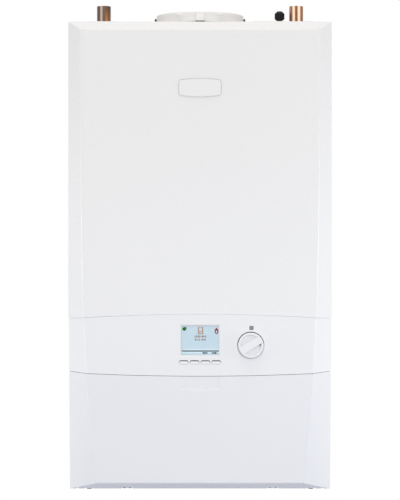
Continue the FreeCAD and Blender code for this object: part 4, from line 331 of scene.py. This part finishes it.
def button_white():
    """Glossy white cap. Its flange inside the fascia is painted dark, as painted shade in the gap, which
    draws a line round the cap.
    """
    material, finish = new_finish("button_white")
    # Painted shade: the flange behind the fascia is coloured dark and rougher, standing for the shadow in the
    # gap.
    painted_gap_shade = finish.between(finish.along("Y"), BUTTON_PAINTED_SHADE_FRONT * MM, BUTTON_PAINTED_SHADE_REAR * MM)
    skin = finish.grain(1100.0)
    finish.surface({
        "Base Color": finish.tint(painted_gap_shade, linear(238, 238, 240), linear(50, 48, 64)),
        "Roughness": 0.28 + 0.10 * skin + 0.3 * painted_gap_shade,
        "Normal": finish.bump(skin, 0.000012)})
    return material


SCREEN_DOTS = 2600.0


def lit_screen(name, pale, deep):
    """Backlit liquid-crystal sheet: a fine grid of dots and faint clouds of a deeper blue."""
    material, finish = new_finish(name)
    dots = finish.cells(SCREEN_DOTS)
    cloud = finish.between(finish.grain(40.0), 0.3, 0.7)
    shown = finish.tint(0.06 * dots, finish.tint(cloud, pale, deep), linear(120, 140, 150))
    finish.surface({
        "Base Color": shown,
        "Emission Color": shown,
        "Emission Strength": 0.25,
        "Roughness": 0.45 + 0.1 * dots})
    return material


def screen_ink(name, pale, deep):
    """One colour of the screen's picture, lit from behind through the same dots."""
    material, finish = new_finish(name)
    shown = finish.tint(finish.cells(SCREEN_DOTS), deep, pale)
    finish.surface({
        "Base Color": shown,
        "Emission Color": shown,
        "Emission Strength": 0.2,
        "Specular IOR Level": 0.1,
        "Roughness": 0.5 + 0.1 * finish.grain(900.0)})
    return material


def clear_pane():
    """Thin clear window with a trace of dust."""
    material, finish = new_finish("clear_pane")
    dust = finish.between(finish.grain(220.0, detail=5.0), 0.55, 0.8)
    finish.surface({
        "Base Color": linear(240, 246, 250),
        "Roughness": 0.06 + 0.2 * dust,
        "Alpha": 0.01 + 0.02 * dust,
        "IOR": 1.49})
    return material


def pale_floor():
    """Matt paper, a little uneven."""
    material, finish = new_finish("pale_floor")
    cloud = finish.grain(3.0, detail=3.0)
    finish.surface({
        "Base Color": finish.tint(cloud, linear(214, 219, 232), linear(216, 221, 233)),
        "Roughness": 0.85 + 0.1 * finish.grain(60.0)})
    return material


# Meshes

WELD = 0.001
FIGURE_SIZE = 3.5
FIGURE_WEIGHT = 0.16
FIGURE_SPACING = 1.2


def mesh_of(shape):
    """The mesh of a flat curve or a line of figures, still lying on its own drawing plane."""
    drawing = bpy.data.objects.new("drawing", shape)
    bpy.context.scene.collection.objects.link(drawing)
    bpy.context.view_layer.update()
    made = bpy.data.meshes.new_from_object(drawing.evaluated_get(bpy.context.evaluated_depsgraph_get()))
    bpy.data.objects.remove(drawing)
    bpy.data.curves.remove(shape)
    return made


def cut_out(outlines, thickness):
    """A flat plate from closed outlines.

    A point is (x, z) in millimetres, with True where the line bends round it."""
    shape = bpy.data.curves.new("outline", "CURVE")
    shape.dimensions = "2D"
    shape.fill_mode = "BOTH"
    shape.extrude = thickness / 2
    shape.resolution_u = 10
    for points in outlines:
        line = shape.splines.new("BEZIER")
        line.bezier_points.add(len(points) - 1)
        line.use_cyclic_u = True
        for knot, (x, z, bends) in zip(line.bezier_points, points):
            knot.co = (x, z, 0)
            knot.handle_left_type = "AUTO" if bends else "VECTOR"
            knot.handle_right_type = "AUTO" if bends else "VECTOR"
    return mesh_of(shape)


def bar_outline(x, z, width, tall):
    """The outline of a plain bar, given by its middle."""
    return [(x + side * width / 2, z + end * tall / 2, False)
            for side, end in ((-1, -1), (1, -1), (1, 1), (-1, 1))]


def figures(words, thickness):
    """A line of plain figures about its middle."""
    shape = bpy.data.curves.new("figures", "FONT")
    shape.body = words
    shape.size = FIGURE_SIZE
    shape.align_x = "CENTER"
    shape.align_y = "CENTER"
    shape.extrude = thickness / 2
    shape.offset = FIGURE_WEIGHT
    shape.space_character = FIGURE_SPACING
    shape.resolution_u = 3
    return mesh_of(shape)


def into_frame(shape):
    """Takes a mesh drawn in millimetres from the bottom of the casing into the frame."""
    bmesh.ops.scale(shape, vec=(MM, MM, MM), verts=shape.verts)
    bmesh.ops.translate(shape, vec=(0, 0, CASING_FOOT), verts=shape.verts)
    return shape


def upright(plates):
    """Flat plates stood up to look along -Y, as one mesh, each with its middle at (x, y, z)."""
    shape = bmesh.new()
    for plate, middle in plates:
        plate.transform(Matrix.Rotation(math.radians(90), 4, "X"))
        plate.transform(Matrix.Translation(middle))
        shape.from_mesh(plate)
        bpy.data.meshes.remove(plate)
    bmesh.ops.remove_doubles(shape, verts=shape.verts, dist=WELD)
    return into_frame(shape)


def pane(low, high, bevel):
    """A plate with softened edges between two corners, in millimetres."""
    shape = bmesh.new()
    bmesh.ops.create_cube(shape, size=1.0)
    bmesh.ops.scale(shape, vec=Vector(high) - Vector(low), verts=shape.verts)
    bmesh.ops.bevel(shape, geom=shape.edges[:], offset=bevel, offset_type="OFFSET", affect="EDGES",
                    segments=3, profile=0.5, material=-1)
    bmesh.ops.translate(shape, vec=(Vector(high) + Vector(low)) / 2, verts=shape.verts)
    return into_frame(shape)


def piece(name, shape, material, body):
    """The finished piece, riding on its body."""
    mesh = bpy.data.meshes.new(name)
    shape.to_mesh(mesh)
    shape.free()
    mesh.materials.append(material)
    made = bpy.data.objects.new(name, mesh)
    bpy.context.scene.collection.objects.link(made)
    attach(made, body)
    return made


# Display

PANE_FRONT = FACE + 0.9
PANE_REAR = PANE_FRONT + 0.6
PANE_BEVEL = 0.2
SHEET_FRONT = PANE_FRONT + 0.9
SHEET_REAR = PANE_FRONT + 1.8
SHEET_BEVEL = 0.1
SHEET_LEFT_GAP = 0.5
SHEET_TOP_GAP = 0.9
INK = 0.15
INK_Y = SHEET_FRONT - INK / 2
ROW_X = 0.5
ROW_WIDTH = 54.4
KEY_MARK_Z = -18.7


def on_screen(plates, layer):
    """Plates of the screen's picture, placed from the middle of the screen, on the sheet or on other ink."""
    y = INK_Y - layer * INK
    return upright([(plate, Vector((x, y, DISPLAY_HEIGHT + z))) for plate, x, z in plates])


def screen_row(tall, z):
    """A bar across the whole screen."""
    return cut_out([bar_outline(0, 0, ROW_WIDTH, tall)], INK), ROW_X, z


def screen_figures(words, z):
    """A line of figures in the middle of the screen."""
    return figures(words, INK), ROW_X, z


def leaf():
    """A broad leaf with a pointed tip at its upper right."""
    edge = [(-3.1, -0.2, True), (-2.3, 1.9, True), (0.3, 2.7, True), (2.9, 2.9, False),
            (2.8, 0.4, True), (2.0, -1.7, True), (-0.1, -2.8, True), (-2.3, -2.1, True)]
    return cut_out([edge], INK)


def flame():
    """A flame drawn as a ring of one pointed drop inside another."""
    outer = [(0.0, 5.0, False), (1.7, 2.8, True), (2.8, 0.2, True), (2.1, -3.2, True),
             (0.0, -4.7, True), (-2.1, -3.2, True), (-2.8, 0.2, True), (-1.7, 2.8, True)]
    inner = [(0.0, 1.2, False), (1.1, -0.6, True), (1.1, -2.2, True),
             (0.0, -3.3, True), (-1.1, -2.2, True), (-1.1, -0.6, True)]
    return cut_out([outer, inner], INK)


def appliance():
    """The outline of a wall-hung case with a line across its lower third."""
    case = bar_outline(0, 0, 7.8, 10.8)
    upper_opening = bar_outline(0, 1.9, 4.2, 5.6)
    lower_opening = bar_outline(0, -3.0, 4.2, 1.7)
    return cut_out([case, upper_opening, lower_opening], INK)


def arrow(side):
    """A key mark: an arrow on a short line."""
    edge = [(-4.2, -0.8), (0.6, -0.8), (0.6, -1.6), (4.2, 0.0), (0.6, 1.6), (0.6, 0.8), (-4.2, 0.8)]
    return cut_out([[(side * x, z, False) for x, z in edge]], INK)


def display():
    """The clear window, the lit sheet behind it and the sheet's picture."""
    half_x = DISPLAY_WIDTH / 2
    foot = DISPLAY_HEIGHT - DISPLAY_TALL / 2
    top = DISPLAY_HEIGHT + DISPLAY_TALL / 2
    window = pane((-half_x, PANE_FRONT, foot), (half_x, PANE_REAR, top), PANE_BEVEL)
    glass = piece("screen_glass", window, clear_pane(), "casing")
    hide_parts("display_window")
    sheet = pane((SHEET_LEFT_GAP - half_x, SHEET_FRONT, foot), (half_x, SHEET_REAR, top - SHEET_TOP_GAP),
                 SHEET_BEVEL)
    blue = lit_screen("screen_blue", linear(181, 200, 210), linear(176, 196, 209))
    piece("screen_sheet", sheet, blue, "casing")
    light_rows = on_screen([screen_row(1.4, -13.6), screen_row(1.5, -18.05)], 0)
    light_blue = lit_screen("screen_light", linear(205, 225, 232), linear(201, 221, 231))
    piece("screen_light_rows", light_rows, light_blue, "casing")

    figure_lines = [screen_figures("12:25 60.5", 5.6), screen_figures("21.5 18.0", 0.9)]
    key_marks = [(arrow(-1), 7.0, KEY_MARK_Z), (arrow(1), 21.4, KEY_MARK_Z)]
    picture = (
        ("screen_rule", [screen_row(3.0, -15.8)], 0, "ink_slate", (132, 147, 152), (118, 133, 138)),
        ("screen_leaf", [(leaf(), -23.0, 16.9)], 0, "ink_green", (6, 112, 22), (0, 94, 8)),
        ("screen_appliance", [(appliance(), 0.8, 14.4)], 0, "ink_rose", (175, 146, 131), (159, 130, 115)),
        ("screen_flame", [(flame(), 24.4, 13.9)], 0, "ink_red", (152, 44, 4), (126, 12, 0)),
        ("screen_figures", figure_lines, 0, "ink_brown", (136, 76, 22), (118, 60, 8)),
        ("screen_marks", key_marks, 1, "ink_black", (70, 80, 86), (52, 62, 68)))
    for name, plates, layer, ink, pale, deep in picture:
        piece(name, on_screen(plates, layer), screen_ink(ink, linear(*pale), linear(*deep)), "casing")


# Radiator sign, knob wedge, badge and shade gasket

def radiator_sign():
    """A radiator printed over the knob: five columns between two rails."""
    columns = [bar_outline(SIGN_COLUMN_PITCH * (index - (SIGN_COLUMNS - 1) / 2), 0.0, 0.9, 5.9)
               for index in range(SIGN_COLUMNS)]
    rails = [bar_outline(0.0, height, 6.0, 0.45) for height in (-1.8, 1.8)]
    middle = Vector((SIGN_X, FACE - SIGN_INK / 2, SIGN_HEIGHT))
    plates = [(cut_out([outline], SIGN_INK), middle) for outline in columns + rails]
    print_grey = dark_moulding("print_grey", linear(82, 84, 90), linear(94, 102, 118), gloss=0.5,
                               skin_depth=0.000004)
    piece("radiator_sign", upright(plates), print_grey, "casing")


def knob_dark_wedge():
    """The dark wedge on the lower flank of the knob's bar, at its pointing end."""
    front = KNOB_FRONT + WEDGE_SINK
    pocket = KNOB_FRONT + KNOB_POCKET_DEPTH
    edge = [(11.2, 1.0, False), (13.2, -0.6, False), (14.9, 1.4, False), (15.5, 3.6, False)]
    wedge = cut_out([edge], pocket - front)
    blue = dark_moulding("wedge_blue", linear(96, 102, 128), linear(84, 90, 116), gloss=0.4,
                         skin_depth=0.000008)
    piece("knob_dark_wedge", upright([(wedge, Vector((KNOB_X, (front + pocket) / 2, KNOB_HEIGHT)))]), blue,
          "knob")


def badge_outline(inset):
    """The badge's outline: straight ends, round corners and long sides that bow out."""
    half = BADGE_WIDTH / 2 - inset
    end = BADGE_END_TALL / 2 - inset
    middle = BADGE_TALL / 2 - inset
    corner = BADGE_CORNER - inset
    cut = corner * (1 - math.sqrt(0.5))
    quarter = [(half / 2, (3 * middle + end) / 4), (half - corner, end), (half - cut, end - cut),
               (half, end - corner)]
    right = [(0, middle)] + quarter + [(x, -z) for x, z in reversed(quarter)]
    left = [(-x, -z) for x, z in right]
    return [(x, z, True) for x, z in right + left]


def badge():
    """The bare badge, with a thin bright line along its edge."""
    plate = cut_out([badge_outline(0.0)], BADGE_THICKNESS)
    plate_middle = Vector((0, FACE - BADGE_THICKNESS / 2, BADGE_HEIGHT))
    white = coated_white("badge_white", linear(232, 232, 233), linear(230, 230, 231), gloss=0.18,
                         skin_depth=0.000006)
    bare = piece("badge", upright([(plate, plate_middle)]), white, "casing")
    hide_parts("badge_plate")
    line = cut_out([badge_outline(BADGE_LINE_OUTER), badge_outline(BADGE_LINE_INNER)], BADGE_LINE_THICKNESS)
    line_middle = Vector((0, FACE - BADGE_THICKNESS - BADGE_LINE_THICKNESS / 2, BADGE_HEIGHT))
    silver = bare_metal("badge_silver", linear(162, 161, 162), linear(174, 173, 174), gloss=0.3,
                        grain_depth=0.000006, stretch=(0.05, 1, 1))
    piece("badge_edge", upright([(line, line_middle)]), silver, "casing")


def collar_shade_gasket():
    """The soft ring that the flue collar stands on, dark as painted shade along the collar's foot, with its
    tongue under the collar's lug as painted shadow in the gap there.
    """
    # Painted shade: the ring is dark so that it draws the contact shadow along the collar's foot.
    foot = SHADE_GASKET_FOOT
    top = SHADE_GASKET_FOOT + SHADE_GASKET_TALL
    profile = ((SHADE_GASKET_INNER, foot), (SHADE_GASKET_OUTER, foot), (SHADE_GASKET_OUTER, top), (SHADE_GASKET_INNER, top))
    shape = bmesh.new()
    corners = [shape.verts.new((0, FLUE_Y - radius, height)) for radius, height in profile]
    edges = [shape.edges.new((corners[index - 1], corners[index])) for index in range(len(corners))]
    bmesh.ops.spin(shape, geom=corners + edges, cent=(0, FLUE_Y, 0), axis=(0, 0, 1), dvec=(0, 0, 0),
                   angle=math.radians(360), steps=120, use_merge=True, use_duplicate=False)
    bmesh.ops.recalc_face_normals(shape, faces=shape.faces)
    rubber = dark_moulding("shade_gasket_rubber", linear(70, 69, 70), linear(56, 55, 56), gloss=0.7,
                           skin_depth=0.00002)
    piece("collar_shade_gasket", into_frame(shape), rubber, "casing")
    # Painted shadow: the tongue fills the gap under the collar's lug with dark.
    tongue = pane((-SHADE_GASKET_TONGUE / 2, FLUE_Y - SHADE_GASKET_OUTER - SHADE_GASKET_REACH, foot),
                  (SHADE_GASKET_TONGUE / 2, FLUE_Y - SHADE_GASKET_OUTER, top), TONGUE_BEVEL)
    piece("lug_shadow_tongue", tongue, rubber, "casing")


# Finishes of the solids

def dress(material, *nodes):
    for node in nodes:
        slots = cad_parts[node].data.materials
        slots.clear()
        slots.append(material)


def dress_whites():
    """Enamelled sheet, white mouldings and ceramic."""
    dress(coated_white("white_enamel", linear(231, 231, 231), linear(229, 229, 231), gloss=0.25,
                       skin_depth=0.000004),
          "front_panel", "left_side_panel", "right_side_panel", "top_panel", "pipe_sealing_plates")
    dress(coated_white("fascia_white", linear(231, 231, 233), linear(229, 230, 232), gloss=0.29,
                       skin_depth=0.000004),
          "control_fascia")
    dress(coated_white("door_white", linear(227, 228, 231), linear(225, 226, 230), gloss=0.29,
                       skin_depth=0.000004),
          "lower_door")
    dress(coated_white("knob_white", linear(231, 231, 234), linear(229, 229, 232), gloss=0.29,
                       skin_depth=0.00001),
          "temperature_knob")
    dress(coated_white("collar_white", linear(239, 239, 239), linear(237, 237, 237), gloss=0.45,
                       skin_depth=0.00002),
          "flue_collar", "exhaust_riser")
    dress(coated_white("module_white", linear(226, 228, 230), linear(220, 223, 226), gloss=0.40,
                       skin_depth=0.00002),
          "display_module")
    dress(coated_white("ceramic_white", linear(228, 226, 218), linear(220, 218, 210), gloss=0.35,
                       skin_depth=0.00002, skin_scale=900.0),
          "electrodes")
    dress(button_white(), "menu_button_1", "menu_button_2", "menu_button_3", "menu_button_4")


def dress_darks():
    """Grey and black mouldings, black steel, rubber and the boards."""
    dress(painted_shade_ring(), "knob_ring")
    dress(dark_moulding("grey_moulding", linear(128, 130, 132), linear(112, 114, 117), gloss=0.45,
                        skin_depth=0.00002),
          "control_box", "condensate_trap", "condensate_pipe", "mixture_duct", "fan_housing", "venturi",
          "spark_generator", "rotary_encoder")
    dress(dark_moulding("black_moulding", linear(24, 22, 21), linear(16, 15, 15), gloss=0.5,
                        skin_depth=0.00003),
          "air_vent_cap", "cable_gland", "board_components", "gas_cock_lever")
    dress(dark_moulding("black_steel", linear(44, 44, 46), linear(30, 30, 32), gloss=0.34,
                        skin_depth=0.00001),
          "casing_screws", "door_catches", "fan_motor")
    dress(dark_moulding("black_rubber", linear(44, 43, 42), linear(34, 33, 33), gloss=0.68,
                        skin_depth=0.00004),
          "rubber_seals", "chamber_seal")
    dress(circuit_board(), "circuit_boards")


def dress_metals():
    """Zinc-dipped and stainless steel, cast aluminium, brass and copper."""
    dress(galvanised_steel(), "wall_bracket", "back_panel", "bottom_panel", "chamber_floor", "chamber_cover",
          "chassis_brackets", "hinge_brackets", "hinge_pins", "door_strikes", "burner_door_nuts")
    dress(bare_metal("cast_aluminium", linear(186, 187, 188), linear(168, 170, 172), gloss=0.42,
                     grain_depth=0.00006),
          "heat_exchanger", "burner_door", "gas_valve", "fan_impeller")
    dress(bare_metal("stainless_steel", linear(196, 196, 197), linear(182, 182, 184), gloss=0.24,
                     grain_depth=0.00001, grain_scale=700.0, stretch=(1, 0.04, 1)),
          "exchanger_coil", "burner")
    dress(bare_metal("brass", linear(206, 176, 104), linear(188, 154, 84), gloss=0.26, grain_depth=0.00001),
          "union_nuts", "gas_cock", "thermistors")
    # A darker brass, for the air vent under its cap.
    dress(bare_metal("dark_brass", linear(126, 92, 66), linear(100, 70, 50), gloss=0.36,
                     grain_depth=0.00001),
          "air_vent")
    # Light streaks on these tubes are painted highlights; streaks in the blotches' colour are stains and
    # painted reflections.
    dress(copper_tube("bright_copper", linear(254, 227, 199), linear(142, 86, 59), linear(98, 53, 37),
                      gloss=0.40, middle=PIPE_X, painted_highlights=((-0.41, 1.0), (0.36, 1.0), (-0.98, 0.3)),
                      stains_and_painted_reflections=((-0.03, 0.6),)),
          "flow_pipe")
    dress(copper_tube("dull_copper", linear(190, 175, 161), linear(89, 66, 52), linear(188, 128, 82),
                      gloss=0.34, middle=-PIPE_X, painted_highlights=((-0.32, 0.9), (-0.95, 0.15)),
                      stains_and_painted_reflections=((0.46, 0.95), (0.9, 0.4)), clean_end=0.9),
          "return_pipe")
    dress(copper_tube("gas_copper", linear(236, 196, 158), linear(160, 104, 76), linear(120, 70, 50),
                      gloss=0.24, middle=GAS_PIPE_X, painted_highlights=((-0.5, 0.5), (0.4, 0.6)), stains_and_painted_reflections=()),
          "gas_pipe")


# Stage

CAMERA_PLACE = (0.0, -3.078, -0.2825)
CAMERA_LENS = 136.3
CAMERA_SENSOR = 36.0
FLOOR_DROP = 0.30
FLOOR_REACH = 1.6
LAMP_AIM = (0.0, -0.15, -0.28)
PLAIN_LIGHT = (1.0, 1.0, 1.0)
WARM_LIGHT = (1.05, 0.99, 0.94)
COOL_LIGHT = (0.95, 1.0, 1.05)
BLUE_LIGHT = (0.89, 1.0, 1.11)
AMBIENT = 0.53
AMBIENT_COLOUR = (1.05, 1.0, 0.94, 1)
WHITE = (1, 1, 1, 1)


def place_camera():
    lens = bpy.data.cameras.new("camera")
    lens.lens = CAMERA_LENS
    lens.sensor_width = CAMERA_SENSOR
    camera = bpy.data.objects.new("camera", lens)
    camera.location = CAMERA_PLACE
    camera.rotation_euler = (math.radians(90), 0, 0)
    bpy.context.scene.collection.objects.link(camera)
    bpy.context.scene.camera = camera


def lay_floor():
    shape = bmesh.new()
    bmesh.ops.create_grid(shape, x_segments=4, y_segments=4, size=FLOOR_REACH)
    bmesh.ops.translate(shape, vec=(0, 0, cad_box[0].z - FLOOR_DROP), verts=shape.verts)
    mesh = bpy.data.meshes.new("floor")
    shape.to_mesh(mesh)
    shape.free()
    mesh.materials.append(pale_floor())
    floor = bpy.data.objects.new("floor", mesh)
    bpy.context.scene.collection.objects.link(floor)


def soft_lamp(name, place, size, power, colour):
    """A soft lamp out of the picture that looks at the middle of the boiler."""
    lamp = bpy.data.lights.new(name, "AREA")
    lamp.shape = "SQUARE"
    lamp.size = size
    lamp.energy = power
    lamp.color = colour
    stand = bpy.data.objects.new(name, lamp)
    stand.location = place
    aim = Vector(LAMP_AIM) - Vector(place)
    stand.rotation_euler = aim.to_track_quat("-Z", "Y").to_euler()
    stand.visible_camera = False
    bpy.context.scene.collection.objects.link(stand)


def hang_lamps():
    soft_lamp("top_lamp", (0.0, -0.7, 1.9), size=1.4, power=17.4, colour=PLAIN_LIGHT)
    soft_lamp("high_lamp", (0.0, -2.4, 1.5), size=1.6, power=5.2, colour=WARM_LIGHT)
    soft_lamp("front_lamp", (0.0, -2.6, 0.3), size=2.4, power=9.2, colour=PLAIN_LIGHT)
    soft_lamp("low_lamp", (0.3, -2.6, -0.75), size=1.2, power=7.0, colour=BLUE_LIGHT)
    soft_lamp("right_lamp", (0.95, -0.42, -0.36), size=0.4, power=2.70, colour=COOL_LIGHT)
    soft_lamp("left_lamp", (-0.95, -0.42, -0.36), size=0.4, power=2.38, colour=COOL_LIGHT)


def surround():
    """Soft light from all round, and white where the camera, a mirror or a clear pane looks past the part."""
    world = bpy.data.worlds.new("studio")
    world.use_nodes = True
    bpy.context.scene.world = world
    sky = Finish(world.node_tree)
    seen = sky.node("LightPath", output="Is Camera Ray")
    mirrored = sky.node("LightPath", output="Is Glossy Ray")
    through = sky.node("LightPath", output="Is Transmission Ray")
    ambient = sky.node("Background", inputs={"Color": AMBIENT_COLOUR, "Strength": AMBIENT})
    white = sky.node("Background", inputs={"Color": WHITE, "Strength": 1.0})
    shown = sky.node("MixShader", inputs={0: seen + mirrored + through, 1: ambient, 2: white})
    sky.node("OutputWorld", inputs={"Surface": shown})
    bpy.context.scene.view_settings.view_transform = "Standard"


place_camera()
lay_floor()
hang_lamps()
surround()
dress_whites()
dress_darks()
dress_metals()
display()
radiator_sign()
knob_dark_wedge()
badge()
collar_shade_gasket()
